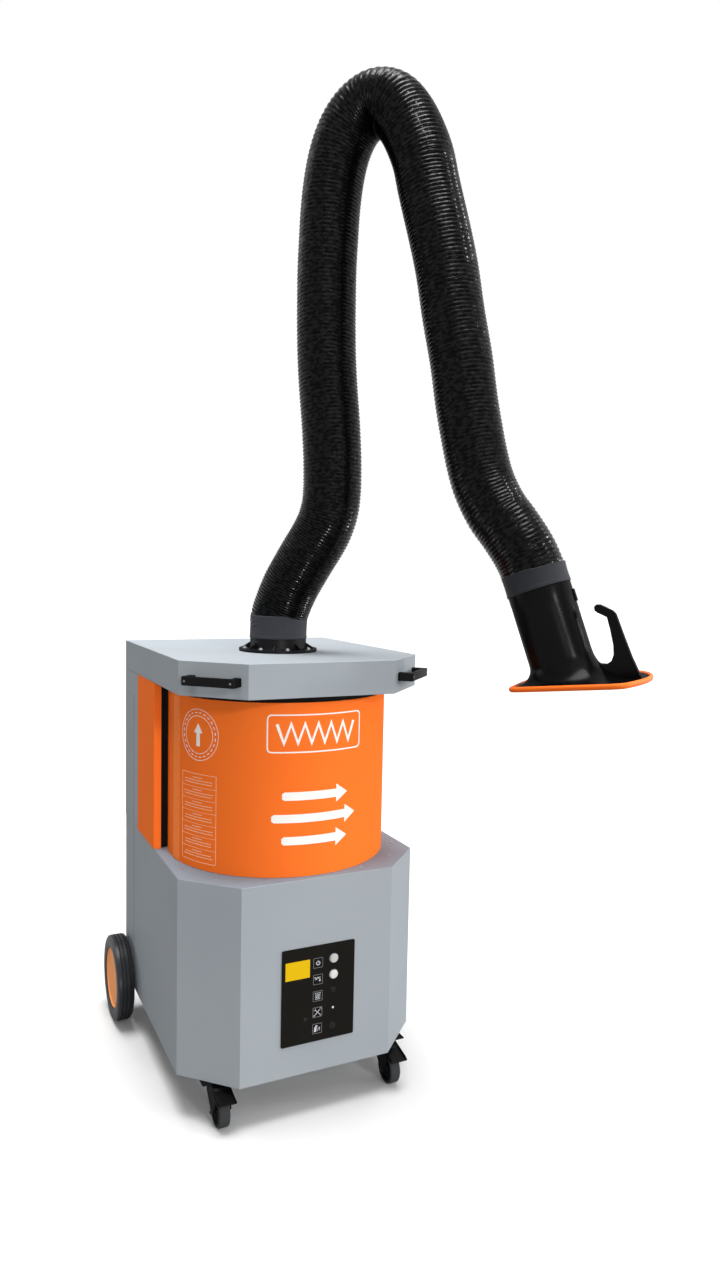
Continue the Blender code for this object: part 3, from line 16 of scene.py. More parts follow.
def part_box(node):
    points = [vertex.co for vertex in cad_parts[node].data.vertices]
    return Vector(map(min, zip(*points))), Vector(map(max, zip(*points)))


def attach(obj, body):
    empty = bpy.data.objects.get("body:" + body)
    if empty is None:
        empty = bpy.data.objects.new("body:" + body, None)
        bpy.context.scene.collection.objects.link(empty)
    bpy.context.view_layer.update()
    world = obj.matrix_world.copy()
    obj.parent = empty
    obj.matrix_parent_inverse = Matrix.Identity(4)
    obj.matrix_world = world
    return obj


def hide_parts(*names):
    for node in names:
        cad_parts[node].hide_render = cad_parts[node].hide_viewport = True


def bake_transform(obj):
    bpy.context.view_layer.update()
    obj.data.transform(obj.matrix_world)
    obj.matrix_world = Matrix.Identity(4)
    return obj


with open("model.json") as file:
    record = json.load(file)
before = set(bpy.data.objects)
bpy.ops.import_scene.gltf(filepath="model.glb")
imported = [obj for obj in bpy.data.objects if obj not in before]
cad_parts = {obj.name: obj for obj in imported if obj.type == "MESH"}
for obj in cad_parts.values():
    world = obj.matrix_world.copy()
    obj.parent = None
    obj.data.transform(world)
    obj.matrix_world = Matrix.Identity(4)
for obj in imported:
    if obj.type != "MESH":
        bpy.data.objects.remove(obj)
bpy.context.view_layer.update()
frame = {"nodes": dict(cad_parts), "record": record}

# Where the cabinet and the arm stand
CASING_LOW, CASING_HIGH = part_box("top_casing")
MIDDLE = 0.5 * (CASING_LOW.x + CASING_HIGH.x)
FRONT = CASING_LOW.y
LID = CASING_HIGH.z
ARM_SETBACK = 0.325
ARM_FOOT = Vector((MIDDLE, FRONT + ARM_SETBACK, LID))
ARM_YAW = math.radians(-50)
ARM_OUT = Vector((math.cos(ARM_YAW), math.sin(ARM_YAW), 0.0))
# The hood's neck: its lean from upright, and the collar that it hangs from, as a place on the arm
NECK_TILT = math.radians(19.5)
COLLAR = (0.699, 0.2375)
UP = Vector((0.0, 0.0, 1.0))
# Edges sharper than this aren't shaded smooth
SHARP_ANGLE = 35
SIDES = {"left": -1.0, "right": 1.0}
BODY_OF = {node: body for body, nodes in frame["record"]["behaviour"]["bodies"].items() for node in nodes}
SLOT_OF = {subpart["node"]: subpart["material_slot"] for subpart in frame["record"]["subparts"]}


def on_arm(out, rise):
    """A point of the arm's plane, from the swivel's axis and the casing's top."""
    return ARM_FOOT + out * ARM_OUT + rise * UP


HOOD_FRAME = (Matrix.Translation(on_arm(*COLLAR)) @ Matrix.Rotation(ARM_YAW, 4, "Z")
              @ Matrix.Rotation(-NECK_TILT, 4, "Y"))


class Signal:
    """One output of a shader node, which can stand in sums."""

    def __init__(self, finish, socket):
        self.finish = finish
        self.socket = socket

    def maths(self, operation, other, turned=False):
        first, second = (other, self) if turned else (self, other)
        return self.finish.node("ShaderNodeMath", {"operation": operation}, {0: first, 1: second})

    def __add__(self, other):
        return self.maths("ADD", other)

    def __sub__(self, other):
        return self.maths("SUBTRACT", other)

    def __rsub__(self, other):
        return self.maths("SUBTRACT", other, True)

    def __mul__(self, other):
        return self.maths("MULTIPLY", other)

    def __truediv__(self, other):
        return self.maths("DIVIDE", other)

    def __pow__(self, other):
        return self.maths("POWER", other)

    __radd__ = __add__
    __rmul__ = __mul__

    def least(self, other):
        return self.maths("MINIMUM", other)

    def cosine(self):
        return self.maths("COSINE", 0.0)

    def ramp(self, low, high):
        """0 below low, 1 above high, and a smooth rise between them."""
        return self.finish.node(
            "ShaderNodeMapRange", {"interpolation_type": "SMOOTHSTEP"},
            {"Value": self, "From Min": low, "From Max": high})

    def axis(self, name):
        return self.finish.node("ShaderNodeSeparateXYZ", {}, {0: self}, name)


class Nodes:
    """A node tree that is filled by one method."""

    def __init__(self, tree):
        self.tree = tree

    def node(self, kind, settings, sockets, output=0):
        """Any node: its settings first, then the values or links of its sockets."""
        made = self.tree.nodes.new(kind)
        for name, value in settings.items():
            if name == "stops":
                for index, (position, colour) in enumerate(value):
                    if index > 1:
                        made.color_ramp.elements.new(position)
                    made.color_ramp.elements[index].position = position
                    made.color_ramp.elements[index].color = shade(colour)
            else:
                setattr(made, name, value)
        for name, value in sockets.items():
            self.join(made.inputs[name], value)
        return Signal(self, made.outputs[output])

    def join(self, socket, value):
        if isinstance(value, (list, tuple)) and value and isinstance(value[0], Signal):
            for one in value:
                self.tree.links.new(one.socket, socket)
        elif isinstance(value, Signal):
            self.tree.links.new(value.socket, socket)
        elif socket.type == "RGBA":
            socket.default_value = shade(value)
        else:
            socket.default_value = value


class Finish(Nodes):
    """One material, and the nodes behind it."""

    def __init__(self, name, colour, roughness, metallic=0.0, specular=0.2, coat=0.0, sheen=0.1):
        self.material = bpy.data.materials.new(name)
        self.material.use_nodes = True
        super().__init__(self.material.node_tree)
        self.shader = self.tree.nodes["Principled BSDF"]
        self.feed({"Base Color": colour, "Roughness": roughness, "Metallic": metallic,
                   "Specular IOR Level": specular, "Coat Weight": coat, "Coat Roughness": sheen})
        self.place = self.node("ShaderNodeTexCoord", {}, {}, "Object")

    def feed(self, sockets):
        for name, value in sockets.items():
            self.join(self.shader.inputs[name], value)

    def noise(self, scale, detail=2.0, stretch=None, place=None):
        """Noise from 0 to 1, with scale in spots per metre."""
        place = place or self.place
        if stretch:
            place = self.node("ShaderNodeMapping", {}, {"Vector": place, "Scale": stretch})
        sockets = {"Vector": place, "Scale": scale, "Detail": detail}
        return self.node("ShaderNodeTexNoise", {}, sockets, "Fac")

    def mix(self, share, low, high):
        """The colour low where share is 0, and high where it is 1."""
        return self.node("ShaderNodeMix", {"data_type": "RGBA"}, {0: share, 6: low, 7: high}, 2)

    def bumps(self, height, distance, strength=1.0, under=None):
        """Feeds the height to the normal, with distance as its size where the height is 1."""
        sockets = {"Height": height, "Distance": distance, "Strength": strength}
        if under:
            sockets["Normal"] = under
        bent = self.node("ShaderNodeBump", {}, sockets)
        self.feed({"Normal": bent})
        return bent


class Growth(Nodes):
    """A geometry node tree with named sizes, which ends in real faces with their finish."""

    def __init__(self, name, sizes):
        super().__init__(bpy.data.node_groups.new(name, "GeometryNodeTree"))
        outline = self.tree.interface
        outline.new_socket("Geometry", in_out="INPUT", socket_type="NodeSocketGeometry")
        for label, kind in sizes.items():
            outline.new_socket(label, in_out="INPUT", socket_type="NodeSocket" + kind)
        outline.new_socket("Finish", in_out="INPUT", socket_type="NodeSocketMaterial")
        outline.new_socket("Geometry", in_out="OUTPUT", socket_type="NodeSocketGeometry")
        self.entry = self.tree.nodes.new("NodeGroupInput")

    def given(self, name):
        return Signal(self, self.entry.outputs[name])

    def keep(self, geometry, kind, **values):
        """The geometry with values kept on its points, and then each value as it is kept."""
        keeper = self.node("GeometryNodeCaptureAttribute", {}, {"Geometry": geometry}).socket.node
        for name in values:
            keeper.capture_items.new(kind, name)
        for name, value in values.items():
            self.join(keeper.inputs[name], value)
        return [Signal(self, keeper.outputs[name]) for name in ("Geometry", *values)]

    def end(self, geometry):
        real = self.node("GeometryNodeRealizeInstances", {}, {0: geometry})
        sockets = {"Geometry": real, "Material": self.given("Finish")}
        done = self.node("GeometryNodeSetMaterial", {}, sockets)
        self.tree.links.new(done.socket, self.tree.nodes.new("NodeGroupOutput").inputs[0])
        return self

    def grow(self, name, start, finish, values):
        """A plain mesh grown from the start data with these sizes."""
        seed = bpy.data.objects.new(name, start)
        bpy.context.scene.collection.objects.link(seed)
        change = seed.modifiers.new("growth", "NODES")
        change.node_group = self.tree
        for item in self.tree.interface.items_tree:
            if item.in_out == "INPUT" and item.name in values:
                change[item.identifier] = values[item.name]
            elif item.in_out == "INPUT" and item.name == "Finish":
                change[item.identifier] = finish.material
        graph = bpy.context.evaluated_depsgraph_get()
        mesh = bpy.data.meshes.new_from_object(seed.evaluated_get(graph))
        bpy.data.objects.remove(seed, do_unlink=True)
        return put(name, mesh, finish)


def shade(colour):
    """A colour written as hex digits or as numbers, with its alpha."""
    if isinstance(colour, str):
        parts = [int(colour[index:index + 2], 16) / 255 for index in (0, 2, 4)]
        colour = [part / 12.92 if part <= 0.04045 else ((part + 0.055) / 1.055) ** 2.4 for part in parts]
    return (*colour[:3], 1.0)


def put(name, mesh, finish, softened=True):
    """A piece at the origin, with its place in its mesh."""
    made = bpy.data.objects.new(name, mesh)
    bpy.context.scene.collection.objects.link(made)
    mesh.materials.clear()
    mesh.materials.append(finish.material)
    if softened:
        mesh.shade_smooth()
        mesh.set_sharp_from_angle(angle=math.radians(SHARP_ANGLE))
    return made


def dressed(made, body, slot, *nodes):
    """Hangs a finished piece on its body and hides the solids that it stands for."""
    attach(made, body)
    if nodes:
        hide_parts(*nodes)
    return made


# Finishes

def painted(name, colour, deeper, roughness, specular=0.12, coat=0.0):
    """Powder coat: fine orange peel, and a tone that drifts a little over a panel."""
    paint = Finish(name, colour, roughness, specular=specular, coat=coat, sheen=0.24)
    drift = paint.noise(2.3, 3.0)
    paint.feed({"Base Color": paint.mix(drift.ramp(0.35, 0.75) * 0.55, colour, deeper),
                "Roughness": roughness - 0.05 + 0.10 * paint.noise(35.0, 4.0)})
    paint.bumps(paint.noise(620.0, 2.0), 0.00006, 0.35)
    return paint


GREY_PAINT = painted("grey_powder_coat", "9DA3A8", "939AA0", 0.42, 0.0, 0.05)
# A darker, bluer copy of the grey paint for the shelf, which is the same sheet: painted shade under the lid.
SHELF_SHADE_PAINT = painted("shelf_powder_coat", "8A949F", "828C97", 0.46, 0.0, 0.02)
ORANGE_PAINT = painted("orange_powder_coat", "FF7A2E", "F87028", 0.48, 0.0, 0.025)
JOINT_SHADE = painted("joint_shade", "666D75", "5E656D", 0.60)
# A lighter copy of the orange paint for the lap strip: a painted highlight along the seam.
LAP_HIGHLIGHT_PAINT = painted("orange_lap_paint", "FF8C46", "FA823C", 0.44, 0.0, 0.06)
ORANGE_EDGING = painted("orange_edging", "F27024", "E8661E", 0.46, 0.10)


def moulded(name, colour, lighter, roughness, grain=900.0, depth=0.00008, specular=0.15, coat=0.0,
            sheen=0.3):
    """Moulded plastic with a fine grain, a little greyer where hands and dust reach it."""
    plastic = Finish(name, colour, roughness, specular=specular, coat=coat, sheen=sheen)
    dust = plastic.noise(9.0, 5.0).ramp(0.45, 0.80)
    plastic.feed({"Base Color": plastic.mix(dust * 0.5, colour, lighter),
                  "Roughness": roughness - 0.04 + 0.14 * plastic.noise(60.0, 3.0)})
    plastic.bumps(plastic.noise(grain, 1.0), depth, 0.5)
    return plastic


BLACK_PLASTIC = moulded("black_grained_plastic", "111113", "19191C", 0.46, specular=0.0, coat=0.16,
                        sheen=0.38)
HANDLE_PLASTIC = moulded("black_handle_plastic", "0A0A0B", "111113", 0.40, 800.0, 0.00004, 0.0, 0.16, 0.20)
CASTER_PLASTIC = moulded("black_caster_plastic", "0D0D0E", "161617", 0.38, 800.0, 0.00006, 0.0, 0.18, 0.30)
HOOD_PLASTIC = moulded("black_hood_plastic", "050506", "0A0A0C", 0.50, 420.0, 0.00002, 0.0, 0.12, 0.24)
PANEL_FACE = moulded("black_panel_face", "14120F", "191715", 0.40, 1500.0, 0.00003, 0.0, 0.10, 0.30)
BUTTON_FACE = moulded("light_button_plastic", "C9CAC6", "BEBFBB", 0.30, 1500.0, 0.00002)
CUFF_RUBBER = moulded("grey_cuff_rubber", "38393E", "434449", 0.72, 500.0, 0.00015)
NECK_RUBBER = moulded("dark_cuff_rubber", "2B2D31", "393B3F", 0.62, 500.0, 0.00015, 0.10)
RIM_PLASTIC = moulded("orange_rim_plastic", "FFA562", "FC9A56", 0.40, 700.0, 0.00005, 0.0, 0.16)
TREAD_RUBBER = moulded("grey_tread_rubber", "36383A", "424446", 0.70, 700.0, 0.00010, 0.10)
TYRE_RUBBER = moulded("dull_tyre_rubber", "222326", "303237", 0.60, 700.0, 0.00006, 0.0, 0.34, 0.34)
# The foam finish also colours the black strips in the slots beside the drum, which paint the shade there.
SEAL_FOAM_AND_GAP_SHADE = moulded("sealing_foam", "141414", "1C1C1C", 0.95, 1200.0, 0.0003)
WHITE_PRINT = moulded("white_print", "F6F3EE", "EDEAE5", 0.42, 600.0, 0.00003)
SOFT_PRINT = moulded("soft_print", "FAC9A6", "F3BE99", 0.45, 600.0, 0.00003)
PALE_PRINT = moulded("pale_print", "CFD0D4", "BFC0C4", 0.45, 600.0, 0.00003)
FAINT_PRINT = moulded("faint_print", "8C8E94", "7E8086", 0.45, 600.0, 0.00003)
YELLOW_LABEL = moulded("yellow_label", "DAB002", "DCAE0C", 0.38, 900.0, 0.00003)
DARK_LENS = moulded("dark_lamp_lens", "120E0D", "181211", 0.12, 1200.0, 0.00002)


def metal(name, colour, darker, roughness, spots):
    """Plated or galvanised metal with a blotchy shine."""
    plate = Finish(name, colour, roughness, 0.92, 0.5)
    blotch = plate.noise(spots, 4.0).ramp(0.3, 0.7)
    plate.feed({"Base Color": plate.mix(blotch, darker, colour),
                "Roughness": roughness - 0.08 + 0.18 * plate.noise(1.7 * spots, 3.0)})
    plate.bumps(plate.noise(9.0 * spots, 2.0), 0.00005, 0.4)
    return plate


ZINC_STEEL = metal("zinc_plated_steel", "B9BBBE", "A4A6A9", 0.34, 40.0)
GALVANISED = metal("galvanised_sheet", "B4B7B8", "9DA0A2", 0.46, 70.0)
BEZEL_STEEL = metal("brushed_bezel", "8F9194", "7C7E82", 0.36, 120.0)
DULL_SCREW = metal("dull_handle_screw", "77787B", "606164", 0.50, 80.0)
DARK_SCREW = metal("blackened_screw", "2C2C2E", "222224", 0.42, 80.0)

FILTER_CLOTH = Finish("filter_cloth", "DAD6C8", 0.95)
# One wave gives the pleats their bumps and paints their hollows darker: painted shade in the folds.
PLEATS_AND_PAINTED_SHADE = FILTER_CLOTH.node(
    "ShaderNodeTexWave", {"wave_type": "BANDS", "bands_direction": "X"},
    {"Vector": FILTER_CLOTH.place, "Scale": 60.0, "Distortion": 0.6}, "Fac")
FILTER_CLOTH.feed({"Base Color": FILTER_CLOTH.mix(PLEATS_AND_PAINTED_SHADE, "C4C0B2", "E2DED1")})
FILTER_CLOTH.bumps(PLEATS_AND_PAINTED_SHADE, 0.002)


def hose_skin():
    """Coated fabric on a wire: dull black, with a shiny coat that shows in short dashes on its creases."""
    skin = Finish("black_hose_fabric", "0A0A0B", 0.36, specular=0.03, sheen=0.08)
    place = skin.node("ShaderNodeAttribute", {"attribute_name": "hose_place"}, {}, "Vector")
    creases = skin.noise(95.0, 3.0, (1.0, 1.0, 0.55), place)
    fine = skin.noise(420.0, 2.0, (1.0, 1.0, 0.6), place)
    patches = skin.noise(16.0, 2.0, None, place)
    dashes = skin.noise(125.0, 1.0, (0.55, 0.55, 1.1), place)
    # The colour follows the creases' height and is darker in their hollows: painted shade in the creases.
    skin.feed({
        "Base Color": skin.mix(creases.ramp(0.35, 0.75), "050506", "0B0B0D"),
        "Roughness": 0.14 + 0.12 * creases + 0.10 * patches,
        "Coat Weight": dashes.ramp(0.40, 0.62) * 0.12})
    under = skin.bumps(creases, 0.0018, 0.6)
    skin.bumps(fine, 0.0002, 0.4, under)
    return skin


HOSE_SKIN = hose_skin()

FINISHES = {
    "grey_paint": GREY_PAINT, "orange_paint": ORANGE_PAINT, "orange_rubber": ORANGE_EDGING,
    "black_plastic": BLACK_PLASTIC, "black_rubber": TYRE_RUBBER, "hose_black": HOSE_SKIN,
    "cuff_grey": CUFF_RUBBER, "bare_steel": ZINC_STEEL, "zinc_sheet": GALVANISED,
    "filter_cloth": FILTER_CLOTH, "foam_black": SEAL_FOAM_AND_GAP_SHADE, "panel_black": PANEL_FACE,
    "button_grey": BUTTON_FACE, "display_yellow": YELLOW_LABEL}

for node, slot in SLOT_OF.items():
    solid = frame["nodes"][node].data
    solid.materials.clear()
    solid.materials.append(FINISHES[slot].material)


# The hose: knots of its middle line in the arm's plane, and what it does over each joint
HOSE_KNOTS = (
    (0.000, 0.062), (0.0004, 0.090), (0.0170, 0.136), (0.038, 0.181), (0.062, 0.220), (0.088, 0.261),
    (0.115, 0.301), (0.138, 0.343), (0.152, 0.388), (0.157, 0.435), (0.157, 0.488), (0.155, 0.540),
    (0.149, 0.618), (0.141, 0.697), (0.135, 0.775), (0.132, 0.852), (0.131, 0.929), (0.131, 1.005),
    (0.134, 1.081), (0.138, 1.156), (0.147, 1.230), (0.163, 1.296), (0.189, 1.349), (0.225, 1.384),
    (0.267, 1.397), (0.310, 1.382), (0.345, 1.341), (0.372, 1.290), (0.392, 1.239), (0.405, 1.184),
    (0.420, 1.127), (0.440, 1.053), (0.461, 0.966), (0.481, 0.856), (0.504, 0.746), (0.520, 0.648),
    (0.535, 0.574), (0.552, 0.501), (0.572, 0.439), (0.604, 0.378), (0.638, 0.334), (0.669, 0.290),
    (0.690, 0.253), (0.712, 0.201))
HOSE_CREST = 0.0776
HOSE_ROOT = 0.0755
HOSE_SIDES = 56
HOSE_STEP = 0.004
HOSE_POINTS_A_RIB = 4
CREASE_DEPTH = 0.0022
CREASES_A_METRE = 85.0
# A crest is as broad as a root where this is 1, and broader below it
CREST_SHARPNESS = 0.8
BASE_RIB_PITCH = 0.0075
RIB_PITCH = 0.0100
BASE_RIBS_END = 0.36
RIBS_WIDEN_OVER = 0.12
LENGTH_PLAY = 1e-6
# Each stretch: its name, its end as a place near the line, its two bodies, where the bend starts and ends,
# and the solids that it stands for
HOSE_STRETCHES = (
    ("hose_over_shoulder", (0.132, 0.852), ("turntable", "lower_arm"), (0.085, 0.240), (0.160, 0.520),
     ("hose_base", "hose_shoulder", "hose_lower")),
    ("hose_to_apex", (0.267, 1.397), ("lower_arm", "elbow"), (0.133, 1.060), (0.258, 1.390),
     ("hose_elbow_low",)),
    ("hose_from_apex", (0.471, 0.911), ("elbow", "upper_arm"), (0.277, 1.390), (0.440, 1.060),
     ("hose_elbow_high", "hose_upper")),
    ("hose_over_wrist", (0.712, 0.201), ("upper_arm", "wrist"), (0.520, 0.600), (0.640, 0.330),
     ("hose_wrist",)))


def smooth_way(knots, step):
    """Points close together on a smooth curve through the knots, with the length up to each."""
    knots = [Vector(knot) for knot in knots]
    knots = [2 * knots[0] - knots[1]] + knots + [2 * knots[-1] - knots[-2]]
    points = []
    for index in range(1, len(knots) - 2):
        before, here, there, after = knots[index - 1:index + 3]
        runs = max(2, round((there - here).length / step))
        for share in (run / runs for run in range(runs)):
            points.append(0.5 * (2 * here + (there - before) * share
                                 + (2 * before - 5 * here + 4 * there - after) * share ** 2
                                 + (3 * here - before - 3 * there + after) * share ** 3))
    points.append(knots[-2])
    lengths = [0.0]
    for here, there in zip(points, points[1:]):
        lengths.append(lengths[-1] + (there - here).length)
    return points, lengths


def at_length(points, lengths, length):
    """The point of the way at a length along it."""
    index = max(1, next((i for i, one in enumerate(lengths) if one >= length), len(lengths) - 1))
    share = (length - lengths[index - 1]) / (lengths[index] - lengths[index - 1])
    return points[index - 1].lerp(points[index], share)


def rib_places(points, lengths):
    """The length at every point of the ribs: close turns near the foot, wider ones beyond."""
    places, length = [], 0.0
    while length < lengths[-1]:
        places.append(length)
        wide = min(1.0, max(0.0, (length - BASE_RIBS_END) / RIBS_WIDEN_OVER))
        pitch = BASE_RIB_PITCH + wide * (RIB_PITCH - BASE_RIB_PITCH)
        length += pitch / HOSE_POINTS_A_RIB
    extra = (len(places) - 1) % HOSE_POINTS_A_RIB
    return places[:len(places) - extra]


def hose_growth():
    """Turns a line whose points come in groups of one rib into the ribbed, creased skin."""
    tree = Growth("hose_ribs", {
        "Crest": "Float", "Root": "Float", "Points a Rib": "Float", "Around": "Int", "Start": "Float",
        "Crease": "Float"})
    crest, root = tree.given("Crest"), tree.given("Root")
    phase = tree.node("GeometryNodeInputIndex", {}, {}) / tree.given("Points a Rib")
    line, along, wave = tree.keep(
        tree.given("Geometry"), "FLOAT",
        Along=tree.node("GeometryNodeSplineParameter", {}, {}, "Length") + tree.given("Start"),
        Wave=(0.5 + 0.5 * (2 * math.pi * (phase + 0.5)).cosine()) ** CREST_SHARPNESS)
    radius = root + wave * (crest - root)
    line = tree.node("GeometryNodeSetCurveRadius", {}, {"Curve": line, "Radius": radius})
    ring = tree.node("GeometryNodeCurvePrimitiveCircle", {}, {
        "Resolution": tree.given("Around"), "Radius": 1.0})
    circle, around = tree.keep(ring, "VECTOR", Round=tree.node("GeometryNodeInputPosition", {}, {}))
    skin = tree.node("GeometryNodeCurveToMesh", {}, {
        "Curve": line, "Profile Curve": circle, "Scale": radius})
    place = tree.node("ShaderNodeCombineXYZ", {}, {
        0: around.axis("X") * root, 1: around.axis("Y") * root, 2: along})
    crease = tree.node("ShaderNodeTexNoise", {}, {
        "Vector": place, "Scale": CREASES_A_METRE, "Detail": 2.0}, "Fac")
    dip = (1.15 - wave) * (crease - 0.5) * tree.given("Crease")
    shift = tree.node("ShaderNodeVectorMath", {"operation": "SCALE"}, {
        0: tree.node("GeometryNodeInputNormal", {}, {}), "Scale": dip})
    skin = tree.node("GeometryNodeSetPosition", {}, {"Geometry": skin, "Offset": shift})
    return tree.end(tree.node(
        "GeometryNodeStoreNamedAttribute", {"data_type": "FLOAT_VECTOR", "domain": "POINT"},
        {"Geometry": skin, "Name": "hose_place", "Value": place}))


def dress_hose():
    points, lengths = smooth_way(HOSE_KNOTS, HOSE_STEP)
    places = rib_places(points, lengths)
    tree = hose_growth()
    first = 0
    for name, end, bodies, start_bend, end_bend, solids in HOSE_STRETCHES:
        near = min(range(len(points)), key=lambda index: (points[index] - Vector(end)).length)
        ribs = round(sum(1 for place in places if place < lengths[near] + LENGTH_PLAY) / HOSE_POINTS_A_RIB)
        last = min(ribs * HOSE_POINTS_A_RIB, len(places) - 1)
        line = bpy.data.curves.new(name, "CURVE")
        line.dimensions = "3D"
        spline = line.splines.new("POLY")
        spline.points.add(last - first)
        for slot, index in enumerate(range(first, last + 1)):
            out, rise = at_length(points, lengths, places[index])
            spline.points[slot].co = (*on_arm(out, rise), 1.0)
        skin = tree.grow(name, line, HOSE_SKIN, {
            "Crest": HOSE_CREST, "Root": HOSE_ROOT, "Points a Rib": float(HOSE_POINTS_A_RIB),
            "Around": HOSE_SIDES, "Start": places[first], "Crease": CREASE_DEPTH})
        on_arm(*start_bend)
        on_arm(*end_bend)
        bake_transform(skin)
        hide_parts(*solids)
        first = last


dress_hose()


# Shapes: outlines with rounded corners, turned pieces, plates and strips

MERGE = 0.00001
ON_AXIS = 0.00002
STRAIGHT = math.pi - 0.01
# The most of a straight side that a corner's arc may take up
CORNER_SHARE = 0.49
LEAST_RADIUS = 0.0002
LEAST_LENGTH = 1e-9
FULL_TURN = 2 * math.pi
# Stands a flat outline upright
QUARTER_TURN = Matrix.Rotation(0.5 * math.pi, 4, "X")


def rounded(points, radius=None, steps=4):
    """The outline again, with an arc at each corner: of one radius, or of each point's third number."""
    radii = [point[2] if radius is None else radius for point in points]
    points = [Vector((*point[:2], 0.0)) for point in points]
    result = []
    for index, (corner, size) in enumerate(zip(points, radii)):
        before = points[index - 1] - corner
        after = points[(index + 1) % len(points)] - corner
        turn = before.angle(after)
        if size <= 0 or turn > STRAIGHT:
            result.append(corner.xy)
            continue
        reach = min(size / math.tan(0.5 * turn), CORNER_SHARE * before.length, CORNER_SHARE * after.length)
        start = corner + reach * before.normalized()
        end = corner + reach * after.normalized()
        for share in (step / steps for step in range(steps + 1)):
            rest = 1 - share
            result.append((rest ** 2 * start + 2 * share * rest * corner + share ** 2 * end).xy)
    return result


def mirrored(outline):
    """Half an outline of radius and height, and then its other half below the middle."""
    return [*outline, *((point[0], -point[1], *point[2:]) for point in outline[::-1])]


def circle(radius, sides=24, x=0.0, y=0.0):
    turns = [FULL_TURN * index / sides for index in range(sides)]
    return [(x + radius * math.cos(turn), y + radius * math.sin(turn)) for turn in turns]


def rectangle(width, height, x=0.0, y=0.0):
    return [(x + across * 0.5 * width, y + up * 0.5 * height)
            for across, up in ((-1, -1), (1, -1), (1, 1), (-1, 1))]


def arc(x, y, radius, start, end, steps=16):
    """Points on an arc, its angles in degrees from the right, counted leftwards round."""
    turns = [math.radians(start + (end - start) * step / steps) for step in range(steps + 1)]
    return [(x + radius * math.cos(turn), y + radius * math.sin(turn)) for turn in turns]


def lifted(place, height):
    """The place moved along its own Z."""
    return place @ Matrix.Translation((0.0, 0.0, height))


def spun(outline, sides, place):
    """A closed skin from an outline of radius and height, turned round its axis."""
    form = bmesh.new()
    rings = []
    for radius, height in outline:
        if radius < ON_AXIS:
            rings.append([form.verts.new((0.0, 0.0, height))] * sides)
        else:
            rings.append([form.verts.new((x, y, height)) for x, y in circle(radius, sides)])
    for lower, upper in zip(rings, rings[1:] + rings[:1]):
        for index in range(sides):
            following = (index + 1) % sides
            corners = [lower[index], lower[following], upper[following], upper[index]]
            kept = list(dict.fromkeys(corners))
            if len(kept) > 2 and form.faces.get(kept) is None:
                form.faces.new(kept)
    bmesh.ops.transform(form, matrix=place, verts=form.verts)
    return form


def raised(form, thickness):
    """Gives flat faces a thickness."""
    extruded = bmesh.ops.extrude_face_region(form, geom=form.faces[:])
    tops = [item for item in extruded["geom"] if isinstance(item, bmesh.types.BMVert)]
    bmesh.ops.translate(form, vec=(0.0, 0.0, thickness), verts=tops)
    return form


def placed(form, place):
    """The form with its faces outwards, moved to its place."""
    bmesh.ops.recalc_face_normals(form, faces=form.faces)
    bmesh.ops.transform(form, matrix=place, verts=form.verts)
    return form


def filled(outline, thickness, place):
    """A flat plate with the outline, from the plane of its place to its thickness."""
    form = bmesh.new()
    form.faces.new([form.verts.new((x, y, 0.0)) for x, y in outline])
    return placed(raised(form, thickness), place)


def one_form(forms):
    """Several forms in one."""
    whole = bmesh.new()
    for form in forms:
        mesh = bpy.data.meshes.new("part")
        form.to_mesh(mesh)
        form.free()
        whole.from_mesh(mesh)
        bpy.data.meshes.remove(mesh)
    return whole


def looking(point, outwards, up=UP):
    """A place whose Z runs outwards, and whose Y is as near up as it can be."""
    out = Vector(outwards).normalized()
    across = Vector(up).cross(out).normalized()
    rise = out.cross(across)
    return Matrix.Translation(Vector(point)) @ Matrix((across, rise, out)).transposed().to_4x4()


def middle_of(node):
    low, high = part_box(node)
    return 0.5 * (low + high)


def round_edges(made, width, segments=2, angle=32):
    edges = made.modifiers.new("edge radius", "BEVEL")
    edges.width = width
    edges.segments = segments
    edges.limit_method = "ANGLE"
    edges.angle_limit = math.radians(angle)
    edges.harden_normals = True
    edges.use_clamp_overlap = True


def piece(name, form, finish, body, slot, *nodes, edge=0.0, segments=2, angle=32):
    """A form as a finished piece on its body, with rounded edges where they have a width."""
    mesh = bpy.data.meshes.new(name)
    form.normal_update()
    bmesh.ops.recalc_face_normals(form, faces=form.faces)
    form.to_mesh(mesh)
    form.free()
    made = put(name, mesh, finish)
    if edge:
        round_edges(made, edge, segments, angle)
    return dressed(made, body, slot, *nodes)


# Flat drawings for prints and signs: lists of small faces side by side

def ribbon(points, width, closed=False):
    """A stroke of even width along the points, as four-sided pieces side by side."""
    points = [Vector(point) for point in points]
    count = len(points)
    left, right = [], []
    for index, point in enumerate(points):
        before = points[index - 1] if closed or index else point
        after = points[(index + 1) % count] if closed or index < count - 1 else point
        ways = [way.normalized() for way in (point - before, after - point) if way.length > LEAST_LENGTH]
        way = sum(ways, Vector((0.0, 0.0))).normalized()
        reach = 0.5 * width / max(0.5, way.dot(ways[0]))
        side = Vector((-way.y, way.x)) * reach
        left.append((point + side)[:])
        right.append((point - side)[:])
    return [(left[index], right[index], right[(index + 1) % count], left[(index + 1) % count])
            for index in range(count if closed else count - 1)]


def band(far, near):
    """Four-sided pieces between two like outlines."""
    return list(zip(far, far[1:] + far[:1], near[1:] + near[:1], near))


def ring_band(outer, inner, sides):
    return band(circle(outer, sides), circle(inner, sides))


def frame_band(width, height, line, radius):
    """A thin rounded frame."""
    inner = rounded(rectangle(width - 2 * line, height - 2 * line), max(radius - line, LEAST_RADIUS), 5)
    return band(rounded(rectangle(width, height), radius, 5), inner)


